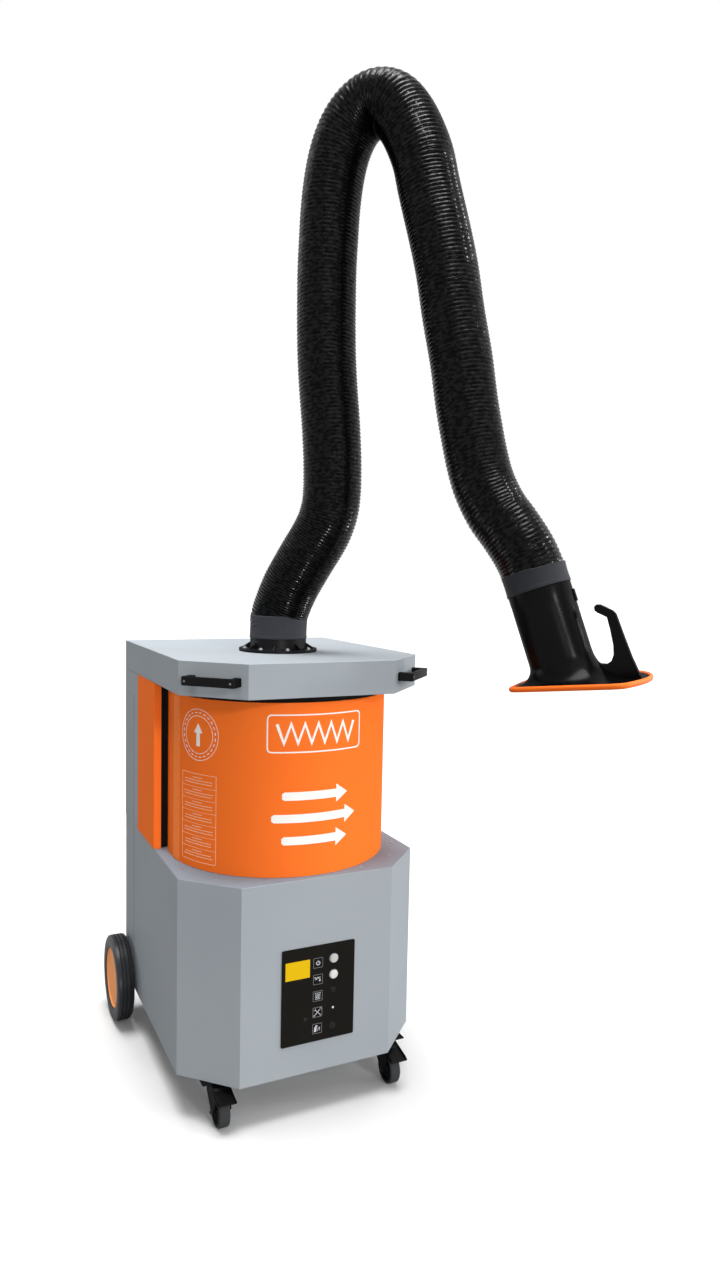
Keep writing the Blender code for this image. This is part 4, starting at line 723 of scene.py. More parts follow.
def moved(pieces, x, y):
    return [[(x + across, y + rise) for across, rise in corners] for corners in pieces]


def drawn(pieces, merge=MERGE):
    """A drawing's pieces as one flat mesh."""
    form = bmesh.new()
    for corners in pieces:
        form.faces.new([form.verts.new((x, y, 0.0)) for x, y in corners])
    bmesh.ops.remove_doubles(form, verts=form.verts, dist=merge)
    return form


# Sheet metal and other plain solids, with the small radius that a real edge has

FLAT_ANGLE = 0.6


def outline_of(node):
    """A copy of a solid's skin, with its flat faces whole again."""
    form = bmesh.new()
    form.from_mesh(frame["nodes"][node].data)
    form.transform(frame["nodes"][node].matrix_world)
    bmesh.ops.remove_doubles(form, verts=form.verts, dist=MERGE)
    bmesh.ops.dissolve_limit(form, angle_limit=math.radians(FLAT_ANGLE), verts=form.verts, edges=form.edges)
    bmesh.ops.connect_verts_concave(form, faces=form.faces)
    return form


def soften(node, edge, finish=None, slot=None):
    """The solid again, with its edges rounded."""
    slot = slot or SLOT_OF[node]
    piece(node + "_skin", outline_of(node), finish or FINISHES[slot], BODY_OF[node], slot, node, edge=edge)


for sheet, edge_radius in (
        ("top_casing", 0.0018), ("base_shell", 0.0015), ("base_floor", 0.0008), ("back_cover", 0.0015),
        ("rear_column", 0.0015), ("cheek_left", 0.0014), ("cheek_right", 0.0014)):
    soften(sheet, edge_radius)
# The shelf gets the darker copy of the grey paint: painted shade under the lid.
soften("base_shelf", 0.0008, SHELF_SHADE_PAINT)
for side in SIDES:
    soften("caster_plate_" + side, 0.0006, slot="black_plastic")


# Screw and bolt heads: one tree sets a washer and a head on every given point

WASHER_SIDES = 20


def head_growth():
    tree = Growth("screw_heads", {"Washer Radius": "Float", "Height": "Float", "Sides": "Int"})
    radius, height, sides = tree.given("Washer Radius"), tree.given("Height"), tree.given("Sides")
    # The washer, the head and its raised middle: sides, width share, start share and height share
    layers = ((WASHER_SIDES, 1.0, 0.0, 0.30), (sides, 0.70, 0.25, 0.60), (sides, 0.55, 0.80, 0.20))
    parts = []
    for layer_sides, wide, low, tall in layers:
        form = tree.node("GeometryNodeMeshCylinder", {}, {
            "Vertices": layer_sides, "Radius": radius * wide, "Depth": height * tall}, "Mesh")
        lift = tree.node("ShaderNodeCombineXYZ", {}, {"Z": height * (low + 0.5 * tall)})
        parts.append(tree.node("GeometryNodeTransform", {}, {"Geometry": form, "Translation": lift}))
    out = tree.node("GeometryNodeInputNamedAttribute", {"data_type": "FLOAT_VECTOR"}, {"Name": "out"},
                    "Attribute")
    return tree.end(tree.node("GeometryNodeInstanceOnPoints", {}, {
        "Points": tree.given("Geometry"),
        "Instance": tree.node("GeometryNodeJoinGeometry", {}, {"Geometry": parts}),
        "Rotation": tree.node("FunctionNodeAlignRotationToVector", {"axis": "Z"}, {"Vector": out})}))


HEADS = head_growth()


# Heads: the washer's radius, the height, and the sides of the head
BOLT_HEAD = (0.0062, 0.0052, 6)
AXLE_NUT = (0.0068, 0.0050, 6)
BACK_SCREW = (0.0050, 0.0026, 12)
SHELF_SCREW = (0.0046, 0.0022, 12)
GRIP_SCREW = (0.0040, 0.0010, 16)
RIVET = (0.0026, 0.0008, 12)


def grow_heads(name, heads, finish, head, slot, body="cabinet"):
    """Heads at (point, way out) pairs, as one piece on one body."""
    points = bpy.data.meshes.new(name)
    points.from_pydata([tuple(point) for point, out in heads], [], [])
    facing = points.attributes.new("out", "FLOAT_VECTOR", "POINT")
    for item, (point, out) in zip(facing.data, heads):
        item.vector = out
    sizes = dict(zip(("Washer Radius", "Height", "Sides"), head))
    return dressed(HEADS.grow(name, points, finish, sizes), body, slot)


# The drum: rolled edges, the lap seam of its sheet, and plain signs printed round it

DRUM_LOW, DRUM_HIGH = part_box("filter_drum")
DRUM_RADIUS = 0.5 * (DRUM_HIGH.x - DRUM_LOW.x)
DRUM_HEIGHT = DRUM_HIGH.z - DRUM_LOW.z
DRUM_PLACE = Matrix.Translation((MIDDLE, 0.5 * (DRUM_LOW.y + DRUM_HIGH.y), DRUM_LOW.z))
# How far the dressed skin stays inside the solid's, so that the prints lie within it
DRUM_INSET = 0.0009
DRUM_SIDES = 192
DRUM_WALL = 0.0025
DRUM_ROLL = 0.006
DRUM_FOLD = 0.0024
DRUM_TOP_DROP = 0.003
DRUM_FOOT_RISE = 0.002
DRUM_TOP_MOUTH = 0.205
DRUM_FOOT_MOUTH = 0.125
PRINT_MERGE = 0.00002
PRINT_THICKNESS = 0.00025
PRINT_LIFT = 0.0001
PRINT_STEP = 0.004


def dress_drum():
    outer = DRUM_RADIUS - DRUM_INSET
    inner = outer - DRUM_WALL
    roll = outer - DRUM_ROLL
    top = DRUM_HEIGHT - DRUM_TOP_DROP
    foot = DRUM_FOOT_RISE
    wall = [(DRUM_TOP_MOUTH, top, 0), (roll, top, 0), (roll + 0.002, DRUM_HEIGHT, 0.001),
            (outer, DRUM_HEIGHT, 0.0018), (outer, 0.0, 0.0015), (roll, 0.0, 0), (roll, foot, 0),
            (DRUM_FOOT_MOUTH, foot, 0), (DRUM_FOOT_MOUTH, foot + DRUM_FOLD, 0), (inner, foot + DRUM_FOLD, 0),
            (inner, top - DRUM_FOLD, 0), (DRUM_TOP_MOUTH, top - DRUM_FOLD, 0)]
    piece("drum_shell", spun(rounded(wall), DRUM_SIDES, DRUM_PLACE), ORANGE_PAINT,
          "cabinet", "orange_paint", "filter_drum")


def on_drum(around, rise, lift):
    """A point on the drum's skin: distance to the right round it from the front, and height over its foot."""
    turn = around / DRUM_RADIUS
    reach = DRUM_RADIUS + lift
    return DRUM_PLACE @ Vector((reach * math.sin(turn), -reach * math.cos(turn), rise))


def wrapped(name, pieces, finish, slot="button_grey", lift=PRINT_LIFT, thickness=PRINT_THICKNESS):
    """A flat drawing laid round the drum as a thin print."""
    form = drawn(pieces, PRINT_MERGE)
    cut = min(vert.co.x for vert in form.verts) + PRINT_STEP
    right = max(vert.co.x for vert in form.verts)
    while cut < right:
        bmesh.ops.bisect_plane(form, geom=form.verts[:] + form.edges[:] + form.faces[:],
                               plane_co=(cut, 0.0, 0.0), plane_no=(1.0, 0.0, 0.0))
        cut += PRINT_STEP
    bmesh.ops.triangulate(form, faces=form.faces)
    for vert in raised(form, thickness).verts:
        vert.co = on_drum(vert.co.x, vert.co.y, lift - DRUM_INSET + vert.co.z)
    piece(name, form, finish, "cabinet", slot)


GAP_SHADE_SETBACK = 0.012
GAP_SHADE_THICKNESS = 0.004
GAP_SHADE_PLAY = 0.0004


def drum_gap_shade_strips():
    """Black strips that close the slots between the drum and the cheeks: a dark sheet standing in for the
    shade in those slots.
    """
    strips = []
    for side, way in SIDES.items():
        low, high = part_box("cheek_" + side)
        cheek = (high.x if way < 0 else low.x) - MIDDLE
        depth = low.y + GAP_SHADE_SETBACK
        drop = depth + GAP_SHADE_THICKNESS - DRUM_PLACE.translation.y
        drum = way * math.sqrt(DRUM_RADIUS ** 2 - drop ** 2)
        place = Matrix.Translation((
            MIDDLE + 0.5 * (cheek + drum), depth + 0.5 * GAP_SHADE_THICKNESS, low.z + GAP_SHADE_PLAY))
        width = abs(cheek - drum) - 2 * GAP_SHADE_PLAY
        strips.append(filled(rectangle(width, GAP_SHADE_THICKNESS), DRUM_HEIGHT, place))
    piece("drum_gap_shade_strips", one_form(strips), SEAL_FOAM_AND_GAP_SHADE, "cabinet", "foam_black")


drum_gap_shade_strips()


# Signs on the drum, all without words: an upright arrow in a ring, a ruled care panel, a pleated filter
# in a frame, and three arrows for the flow of air

LAP_MIDDLE = -0.4225
LAP_WIDTH = 0.037
LAP_MARGIN = 0.004
LAP_THICKNESS = 0.0007
RIVETS = 12
RIVET_START = 0.030
RIVET_PITCH = 0.0345
RIVET_MARGIN = 0.005

RING_SIGN_AT = (-0.3225, 0.3436)
RING_SIGN_LINE = 0.0013
RING_SIGN_RADII = ((0.0655, 72), (0.0485, 60))
RING_DASHES = 24
RING_DASH_RADIUS = 0.0563
RING_DASH_DEGREES = (3.5, 11.5)
RING_DASH_WIDTH = 0.0022
ARROW_LENGTH = 0.058
ARROW_WIDTH = 0.0125
ARROW_HEAD = 0.024
ARROW_SPREAD_SHARE = 0.62

CARE_AT = (-0.3245, 0.1315)
CARE_WIDTH = 0.124
CARE_HEIGHT = 0.226
CARE_FRAME_LINE = 0.0013
CARE_CORNER = 0.003
CARE_GROUPS = 7
CARE_MARGIN = 0.0035
# Half the length of each line of a group, as a range: the short heading, then the two long lines
CARE_LINES = ((0.017, 0.017), (0.046, 0.054), (0.044, 0.054))
CARE_LINE_PITCH = 0.0070
CARE_LINE_WIDTH = 0.0016
CARE_RULE_HALF = 0.0605
CARE_RULE_WIDTH = 0.0009

FILTER_SIGN_AT = (-0.002, 0.360)
# Its width, height, line and corner radius
FILTER_SIGN_FRAME = (0.260, 0.096, 0.0034, 0.014)
FOLDS = 13
FOLD_PITCH = 0.0175
FOLD_HALF = 0.024
FOLD_WIDTH = 0.0080

FLOW_LEVEL = 0.148
FLOW_PITCH = 0.056
FLOW_LEFT = -0.1125
FLOW_LENGTHS = (0.172, 0.225, 0.172)
FLOW_STEP = 0.026
FLOW_HALF = 0.0105
FLOW_HEAD = 0.034
FLOW_HEAD_HALF = 0.0230
FLOW_TAIL = 0.0060


def ring_sign():
    pieces = []
    for radius, sides in RING_SIGN_RADII:
        pieces += ring_band(radius, radius - RING_SIGN_LINE, sides)
    for index in range(RING_DASHES):
        start, end = (360 / RING_DASHES * index + degrees for degrees in RING_DASH_DEGREES)
        pieces += ribbon(arc(0.0, 0.0, RING_DASH_RADIUS, start, end, 3), RING_DASH_WIDTH)
    tip, neck = 0.5 * ARROW_LENGTH, 0.5 * ARROW_LENGTH - ARROW_HEAD
    spread = ARROW_SPREAD_SHARE * ARROW_HEAD
    pieces.append(rectangle(ARROW_WIDTH, neck + tip, 0.0, 0.5 * (neck - tip)))
    pieces.append([(-spread, neck), (spread, neck), (0.0, tip)])
    return moved(pieces, *RING_SIGN_AT)


def care_panel():
    """A frame of ruled groups, each with a short heading over two long lines."""
    pieces = frame_band(CARE_WIDTH, CARE_HEIGHT, CARE_FRAME_LINE, CARE_CORNER)
    draw = random.Random(11)
    for index in range(CARE_GROUPS):
        top = 0.5 * CARE_HEIGHT - CARE_MARGIN - index * (CARE_HEIGHT - 2 * CARE_MARGIN) / CARE_GROUPS
        for row, (least, most) in enumerate(CARE_LINES):
            reach = draw.uniform(least, most) if row else least
            drop = (row + 1) * CARE_LINE_PITCH
            pieces += ribbon([(-reach, top - drop), (reach, top - drop)], CARE_LINE_WIDTH)
        if index:
            pieces += ribbon([(-CARE_RULE_HALF, top), (CARE_RULE_HALF, top)], CARE_RULE_WIDTH)
    return moved(pieces, *CARE_AT)


def filter_sign():
    start = -0.5 * (FOLDS - 1) * FOLD_PITCH
    folds = [(start + FOLD_PITCH * index, FOLD_HALF * (-1) ** index) for index in range(FOLDS)]
    return moved(frame_band(*FILTER_SIGN_FRAME) + ribbon(folds, FOLD_WIDTH), *FILTER_SIGN_AT)


def flow_sign():
    """Three arrows one under the other, the outer two set in a little at both ends."""
    pieces = []
    for index, reach in enumerate(FLOW_LENGTHS):
        neck = reach - FLOW_HEAD
        arrow = [[(0.0, -FLOW_HALF), (0.0, FLOW_HALF), (-FLOW_TAIL, FLOW_TAIL), (-FLOW_TAIL, -FLOW_TAIL)],
                 [(0.0, -FLOW_HALF), (neck, -FLOW_HALF), (neck, FLOW_HALF), (0.0, FLOW_HALF)],
                 [(neck, -FLOW_HEAD_HALF), (reach, 0.0), (neck, FLOW_HEAD_HALF)]]
        start = FLOW_LEFT + (0.0 if index == 1 else FLOW_STEP)
        pieces += moved(arrow, start, FLOW_LEVEL + FLOW_PITCH * (1 - index))
    return pieces


def lap_seam():
    """The strip where the drum's sheet laps over itself, with its row of rivets."""
    strip = rectangle(LAP_WIDTH, DRUM_HEIGHT - 2 * LAP_MARGIN, LAP_MIDDLE, 0.5 * DRUM_HEIGHT)
    # The strip's lighter orange is a painted highlight.
    wrapped("drum_lap_seam", [strip], LAP_HIGHLIGHT_PAINT, "orange_paint", 0.0, LAP_THICKNESS)
    around = LAP_MIDDLE + 0.5 * LAP_WIDTH - RIVET_MARGIN
    out = on_drum(around, 0.0, 1.0) - on_drum(around, 0.0, 0.0)
    heads = [(on_drum(around, RIVET_START + RIVET_PITCH * index, 0.0), out) for index in range(RIVETS)]
    grow_heads("drum_seam_rivets", heads, ORANGE_PAINT, RIVET, "orange_paint")


dress_drum()
lap_seam()
wrapped("upright_sign", ring_sign(), WHITE_PRINT)
wrapped("care_panel", care_panel(), SOFT_PRINT)
wrapped("filter_sign", filter_sign(), WHITE_PRINT)
wrapped("air_flow_sign", flow_sign(), WHITE_PRINT)


# The hood: neck, flare to the tilted mouth, rubber edging and hook handle, in the neck's own frame

NECK_RADIUS = 0.0762
NECK_SPIGOT = 0.0740
NECK_WALL = 0.0028
NECK_LENGTH = 0.225
NECK_STEP = 0.003
CUFF_DROP = 0.055
MOUTH_DROP = 0.2846
MOUTH_TILT = math.radians(12.2)
# The mouth's six sides: the way each faces, and how far it lies from the middle
MOUTH_EDGES = tuple((math.radians(degrees), distance) for degrees, distance in (
    (0.0, 0.197), (24.3, 0.2065), (103.4, 0.1255), (180.0, 0.124), (-103.4, 0.1255), (-24.3, 0.2065)))
# The higher this is, the tighter are the mouth's corners
MOUTH_ROUNDING = 16
MOUTH_ALONG = Vector((math.cos(MOUTH_TILT), 0.0, -math.sin(MOUTH_TILT)))
MOUTH_DOWN = Vector((-math.sin(MOUTH_TILT), 0.0, -math.cos(MOUTH_TILT)))
HOOD_SIDES = 120
HOOD_TURNS = [FULL_TURN * index / HOOD_SIDES for index in range(HOOD_SIDES)]
FLARE_STEPS = 12
FLARE_INSET = 0.010
EDGING_DEPTH = 0.0066
EDGING_WIDTH = 0.0046
EDGING_DROP = 0.004
EDGING_SIDES = 12
LIP = 0.004
LIP_DROP = 0.006
HOOD_TOP = 0.0003


def mouth_place(turn, inset, drop):
    """A point of the mouth's outline, moved inwards and down from its plane."""
    total = sum(max(0.0, math.cos(turn - edge)) ** MOUTH_ROUNDING / (distance - inset) ** MOUTH_ROUNDING
                for edge, distance in MOUTH_EDGES)
    reach = total ** (-1.0 / MOUTH_ROUNDING)
    return (Vector((0.0, reach * math.sin(turn), -MOUTH_DROP)) + reach * math.cos(turn) * MOUTH_ALONG
            + drop * MOUTH_DOWN)


def hood_rings(inset):
    """Rings of the hood's outer or inner skin, from the collar down to the lip."""
    start = CUFF_DROP + NECK_STEP
    steps = [(NECK_SPIGOT, HOOD_TOP), (NECK_SPIGOT, CUFF_DROP - 0.002),
             (NECK_RADIUS - 0.0006, CUFF_DROP + 0.0008), (NECK_RADIUS, start)]
    steps += [(NECK_RADIUS, start + share * (NECK_LENGTH - start)) for share in (0.25, 0.5, 0.75, 1.0)]
    rings = [[Vector(((radius - inset) * math.cos(turn), (radius - inset) * math.sin(turn), -drop))
              for turn in HOOD_TURNS] for radius, drop in steps]
    base = rings[-1]
    edge = [mouth_place(turn, LIP + FLARE_INSET + inset, inset) for turn in HOOD_TURNS]
    for step in range(1, FLARE_STEPS + 1):
        angle = 0.5 * math.pi * step / FLARE_STEPS
        out, down = 1.0 - math.cos(angle), math.sin(angle)
        rings.append([Vector((*near.xy.lerp(far.xy, out), near.z + down * (far.z - near.z)))
                      for near, far in zip(base, edge)])
    rings.append([mouth_place(turn, LIP + inset, LIP_DROP) for turn in HOOD_TURNS])
    return rings


def skinned(rows):
    """Faces between rows of as many points each, with the last row joined to the first."""
    form = bmesh.new()
    rows = [[form.verts.new(place) for place in row] for row in rows]
    for upper, lower in zip(rows, rows[1:] + rows[:1]):
        for index in range(len(upper)):
            following = (index + 1) % len(upper)
            form.faces.new((upper[index], lower[index], lower[following], upper[following]))
    return placed(form, HOOD_FRAME)


# The hook's outline: distance out from the neck's axis, and height under the collar
HOOK = (
    (0.0600, -0.262), (0.0660, -0.232), (0.0760, -0.2520), (0.0870, -0.2650), (0.1000, -0.2700),
    (0.1130, -0.2660), (0.1220, -0.2540), (0.1280, -0.2320), (0.1320, -0.1950), (0.1335, -0.1650),
    (0.1160, -0.1490), (0.1110, -0.1420), (0.1125, -0.1335), (0.1195, -0.1295), (0.1270, -0.1325),
    (0.1500, -0.1540), (0.1550, -0.1640), (0.1570, -0.2150), (0.1600, -0.2700), (0.1650, -0.3120),
    (0.1640, -0.3300), (0.0600, -0.3000))
HOOK_HALF = 0.0105
HOOK_ROUNDING = 0.004


def dress_hood():
    piece("hood_shell", skinned(hood_rings(0.0) + hood_rings(NECK_WALL)[::-1]), HOOD_PLASTIC,
          "hood", "black_plastic", "suction_hood")
    upright = HOOD_FRAME @ Matrix.Translation((0.0, HOOK_HALF, 0.0)) @ QUARTER_TURN
    bar = filled(rounded(HOOK, HOOK_ROUNDING, 3), 2 * HOOK_HALF, upright)
    piece("hood_hook_handle", bar, HOOD_PLASTIC, "hood", "black_plastic",
          edge=HOOK_ROUNDING, segments=4, angle=50)
    section = circle(1.0, EDGING_SIDES)
    rows = [[mouth_place(turn, EDGING_WIDTH * (1 - across), EDGING_DROP - EDGING_DEPTH * up)
             for turn in HOOD_TURNS] for across, up in section]
    piece("hood_edging", skinned(rows), ORANGE_EDGING, "hood", "orange_rubber", "hood_rim")


dress_hood()


# The arm's foot: flange with gussets and bolts, and the two rubber cuffs

FLANGE_RADIUS = 0.1066
FLANGE_HEIGHT = 0.008
FLANGE_SIDES = 128
TUBE_RADIUS = 0.0765
TUBE_HEIGHT = 0.035
TUBE_WALL = 0.006
BOLTS = 8
BOLT_RADIUS = 0.0930
GUSSET_HALF = 0.0015
GUSSET_HEIGHT = 0.016
# How deep a gusset's foot and root are sunk
GUSSET_SUNK = 0.001
CUFF_RADIUS = 0.0785
CUFF_WALL = 0.0036
CUFF_SIDES = 144
# How far a cuff's wall swells in folds, and widens up to its top, as shares of its radius
FOLD_SHARE = 0.0035
FLARE_SHARE = 0.006
NECK_CUFF_HEIGHT = 0.0548
NECK_CUFF_UNEVEN = 0.009
FOOT_CUFF_UNEVEN = 0.0012
FOOT_CUFF_LEAN = 0.0024
LEVER_REACH = NECK_RADIUS + 0.0042


def in_foot(turn=0.0):
    """The foot's own place on the casing, turned round the swivel's axis."""
    low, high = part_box("arm_flange")
    return (Matrix.Translation((0.5 * (low.x + high.x), 0.5 * (low.y + high.y), low.z))
            @ Matrix.Rotation(turn, 4, "Z"))


def dress_flange():
    outline = rounded([
        (FLANGE_RADIUS, 0.0, 0.0005), (FLANGE_RADIUS, FLANGE_HEIGHT, 0.0015),
        (TUBE_RADIUS + 0.0005, FLANGE_HEIGHT, 0.004), (TUBE_RADIUS, TUBE_HEIGHT, 0.001),
        (TUBE_RADIUS - TUBE_WALL, TUBE_HEIGHT, 0.0005), (TUBE_RADIUS - TUBE_WALL - 0.001, 0.0, 0.0)])
    piece("foot_flange", spun(outline, FLANGE_SIDES, in_foot()), BLACK_PLASTIC,
          "cabinet", "black_plastic", "arm_flange")
    foot = FLANGE_HEIGHT - GUSSET_SUNK
    root = TUBE_RADIUS - GUSSET_SUNK
    top = FLANGE_HEIGHT + GUSSET_HEIGHT
    shape = [(root, foot), (FLANGE_RADIUS - 0.007, foot), (FLANGE_RADIUS - 0.009, FLANGE_HEIGHT + 0.002),
             (TUBE_RADIUS, top), (root, top)]
    gussets = []
    for index in range(BOLTS):
        turn = FULL_TURN * (index + 0.5) / BOLTS + ARM_YAW
        place = in_foot(turn) @ Matrix.Translation((0.0, GUSSET_HALF, 0.0)) @ QUARTER_TURN
        gussets.append(filled(shape, 2 * GUSSET_HALF, place))
    piece("foot_gussets", one_form(gussets), BLACK_PLASTIC, "cabinet", "black_plastic", edge=0.0006)


def cuff_outline(height):
    """A soft sleeve with a rolled lip at both ends, its wall a little drawn in between."""
    inner = CUFF_RADIUS - CUFF_WALL
    # How far in from the outside, how high, and how round
    outer = ((0.0008, 0.0, 0.0004), (0.0, 0.002, 0.001), (0.0, 0.007, 0.001), (0.0006, 0.009, 0.002),
             (0.0010, 0.5 * height, 0.0), (0.0004, height - 0.008, 0.002), (0.0, height - 0.006, 0.001),
             (0.0, height - 0.0015, 0.001), (0.0010, height, 0.0004))
    points = [(CUFF_RADIUS - inset, rise, rounding) for inset, rise, rounding in outer]
    return rounded([*points, (inner, height, 0.0), (inner, 0.0, 0.0)], steps=3)


def wave_of(turn, waves):
    return sum(size * math.sin(turns * turn + start) for start, turns, size in waves)


def dress_cuff(name, node, body, place, height, uneven, finish, lean):
    """The sleeve, its top edge and wall a little out of true, and its top drawn over by the hose."""
    form = spun(cuff_outline(height), CUFF_SIDES, Matrix.Identity(4))
    draw = random.Random(7)
    waves = [(draw.uniform(0.0, FULL_TURN), turns, draw.uniform(0.4, 1.0) / turns)
             for turns in (1, 2, 3, 5, 9)]
    for vert in form.verts:
        turn = math.atan2(vert.co.y, vert.co.x)
        share = max(0.0, vert.co.z / height)
        vert.co.z -= share ** 3 * uneven * (0.5 + 0.5 * wave_of(turn, waves))
        folds = 0.5 + 0.5 * math.sin(3 * turn + 9 * share + 1.3)
        swell = 1.0 - FOLD_SHARE * folds * math.sin(math.pi * min(share, 1.0))
        flare = 1.0 + FLARE_SHARE * share
        vert.co.x = vert.co.x * swell * flare + lean.x * share ** 2
        vert.co.y = vert.co.y * swell * flare + lean.y * share ** 2
    bmesh.ops.transform(form, matrix=place, verts=form.verts)
    piece(name, form, finish, body, "cuff_grey", node)


def dress_cuffs():
    low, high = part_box("base_cuff")
    foot = Matrix.Translation((ARM_FOOT.x, ARM_FOOT.y, low.z))
    dress_cuff("foot_cuff", "base_cuff", "turntable", foot, high.z - low.z, FOOT_CUFF_UNEVEN,
               CUFF_RUBBER, FOOT_CUFF_LEAN * ARM_OUT)
    dress_cuff("neck_cuff", "hood_cuff", "wrist", lifted(HOOD_FRAME, -CUFF_DROP), NECK_CUFF_HEIGHT,
               NECK_CUFF_UNEVEN, NECK_RUBBER, Vector((0.0, 0.0, 0.0)))


def dress_flap():
    """The throttle flap's disc and spindle, with a lever that lies close to the neck."""
    form = outline_of("throttle_flap")
    bmesh.ops.transform(form, matrix=HOOD_FRAME.inverted(), verts=form.verts)
    for vert in form.verts:
        reach = vert.co.xy.length
        if reach > LEVER_REACH:
            vert.co.x *= LEVER_REACH / reach
            vert.co.y *= LEVER_REACH / reach
    bmesh.ops.transform(form, matrix=HOOD_FRAME, verts=form.verts)
    piece("throttle_disc", form, BLACK_PLASTIC, BODY_OF["throttle_flap"], "black_plastic", "throttle_flap",
          edge=0.0004)


dress_flange()
dress_cuffs()
dress_flap()


# Rear wheels: grooved tyre, smooth hub cap and ribbed rim behind it

TYRE_RADIUS = 0.125
TYRE_HALF = 0.02475
TYRE_SHOULDER = (0.0016, 0.0045)
RIM_RADIUS = 0.088
CAP_RADIUS = 0.0865
GROOVE_PLACES = (-0.0105, 0.0, 0.0105)
GROOVE_HALF = 0.0019
GROOVE_DEPTH = 0.0034
WHEEL_SIDES = 96
# Outlines of radius, height over the wheel's middle and rounding
CAP_OUTLINE = (
    (RIM_RADIUS, -0.010, 0), (RIM_RADIUS, 0.0195, 0.001), (CAP_RADIUS, 0.0208, 0.001),
    (0.0840, 0.0204, 0.002), (0.0800, 0.0178, 0.004), (0.0600, 0.0170, 0.01), (0.0, 0.0170, 0),
    (0.0, 0.0140, 0), (0.0600, 0.0140, 0), (0.0790, 0.0148, 0), (0.0845, 0.0160, 0), (0.0845, -0.010, 0))
CORE_OUTLINE = (
    (0.0845, -0.0095), (0.0875, -0.0170), (0.0875, -0.0190), (0.0820, -0.0190), (0.0790, -0.0100),
    (0.0290, -0.0100), (0.0270, -0.0120), (0.0265, -0.0295), (0.0115, -0.0300), (0.0115, 0.0110),
    (0.0600, 0.0110), (0.0845, 0.0060))
RIM_RIBS = 6
RIB_LENGTH = 0.052
RIB_WIDTH = 0.004
RIB_HEIGHT = 0.0075
RIB_MIDDLE = 0.054
RIB_START = -0.0170
AXLE_SETBACK = 0.0150
AXLE_SIDES = 40
AXLE_EDGE = 0.001


def tyre_outline():
    """From the inner bead over the outer wall, the tread with its grooves, and the inner wall."""
    shoulder, side = TYRE_SHOULDER
    floor_radius = TYRE_RADIUS - GROOVE_DEPTH
    tread = [(TYRE_RADIUS - shoulder, TYRE_HALF - side)]
    for middle in GROOVE_PLACES[::-1]:
        tread += [(TYRE_RADIUS, middle + GROOVE_HALF), (floor_radius, middle + 0.5 * GROOVE_HALF),
                  (floor_radius, middle - 0.5 * GROOVE_HALF), (TYRE_RADIUS, middle - GROOVE_HALF)]
    tread += [(TYRE_RADIUS - shoulder, side - TYRE_HALF)]
    wall = [(RIM_RADIUS + 0.0005, 0.4 * TYRE_HALF), (RIM_RADIUS + 0.001, TYRE_HALF - 0.003),
            (RIM_RADIUS + 0.006, TYRE_HALF - 0.0008), (TYRE_RADIUS - 0.014, TYRE_HALF),
            (TYRE_RADIUS - 0.0065, TYRE_HALF - 0.0012)]
    return wall + tread + [(radius, -along) for radius, along in wall[::-1]]


def dress_wheel(side, way):
    place = looking(middle_of("rear_tyre_" + side), (way, 0.0, 0.0))
    body = "rear_wheel_" + side
    piece("tyre_" + side, spun(tyre_outline(), WHEEL_SIDES, place), TYRE_RUBBER,
          body, "black_rubber", "rear_tyre_" + side)
    piece("hub_cap_" + side, spun(rounded(CAP_OUTLINE), WHEEL_SIDES, place), RIM_PLASTIC,
          body, "orange_paint", "rear_rim_" + side)
    # The rim's core and ribs behind the orange cap are black: painted shade for the wheel's shaded inside.
    piece("rim_core_" + side, spun(CORE_OUTLINE, WHEEL_SIDES, place), BLACK_PLASTIC, body, "black_plastic")
    rib = rectangle(RIB_LENGTH, RIB_WIDTH, RIB_MIDDLE)
    ribs = [filled(rib, RIB_HEIGHT, lifted(place @ Matrix.Rotation(FULL_TURN * index / RIM_RIBS, 4, "Z"),
                                           RIB_START)) for index in range(RIM_RIBS)]
    piece("rim_ribs_" + side, one_form(ribs), BLACK_PLASTIC, body, "black_plastic", edge=0.0008)


def dress_axle():
    low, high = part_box("rear_axle")
    half = 0.5 * (high.x - low.x) - AXLE_SETBACK
    radius = 0.5 * (high.z - low.z)
    bar = [(0.0, -half, 0), (radius, -half, AXLE_EDGE), (radius, half, AXLE_EDGE), (0.0, half, 0)]
    place = looking(middle_of("rear_axle"), (1.0, 0.0, 0.0))
    piece("axle_bar", spun(rounded(bar, steps=2), AXLE_SIDES, place), ZINC_STEEL,
          "cabinet", "bare_steel", "rear_axle")


for side, way in SIDES.items():
    dress_wheel(side, way)
dress_axle()


# Casters: wheel with a lighter tread, closed cover with its top block, and broad brake pedal

ROLLER_SIDES = 64
COVER_WIDTH = 0.0440
COVER_WALL = 0.0032
COVER_PLAY = 0.0001
RING_OUTLINE = (
    (0.0, 0.0, 0), (0.0270, 0.0, 0.002), (0.0300, 0.0040, 0.002), (0.0300, 0.0095, 0.0006),
    (0.0, 0.0095, 0))
RING_DROP = 0.0098
RING_SIDES = 48
PEDAL_WALL = 0.0034
PEDAL_OVERHANG = 0.0010
# Where the middle of the pedal's rear and front edge lies, back and up from the solid's corner
PEDAL_REAR = (0.004, 0.0045)
PEDAL_FRONT = (0.003, 0.0075)
TOE_RIBS = 5
TOE_RIB_START = 0.0065
TOE_RIB_PITCH = 0.0058
TOE_RIB_WIDTH = 0.0022
TOE_RIB_HEIGHT = 0.0010
WEB_WIDTH = 0.0028
WEB_HEIGHT = 0.0060
WEB_DROP = 0.0090
WEB_INSET = 0.0040
SUNK = 0.0001


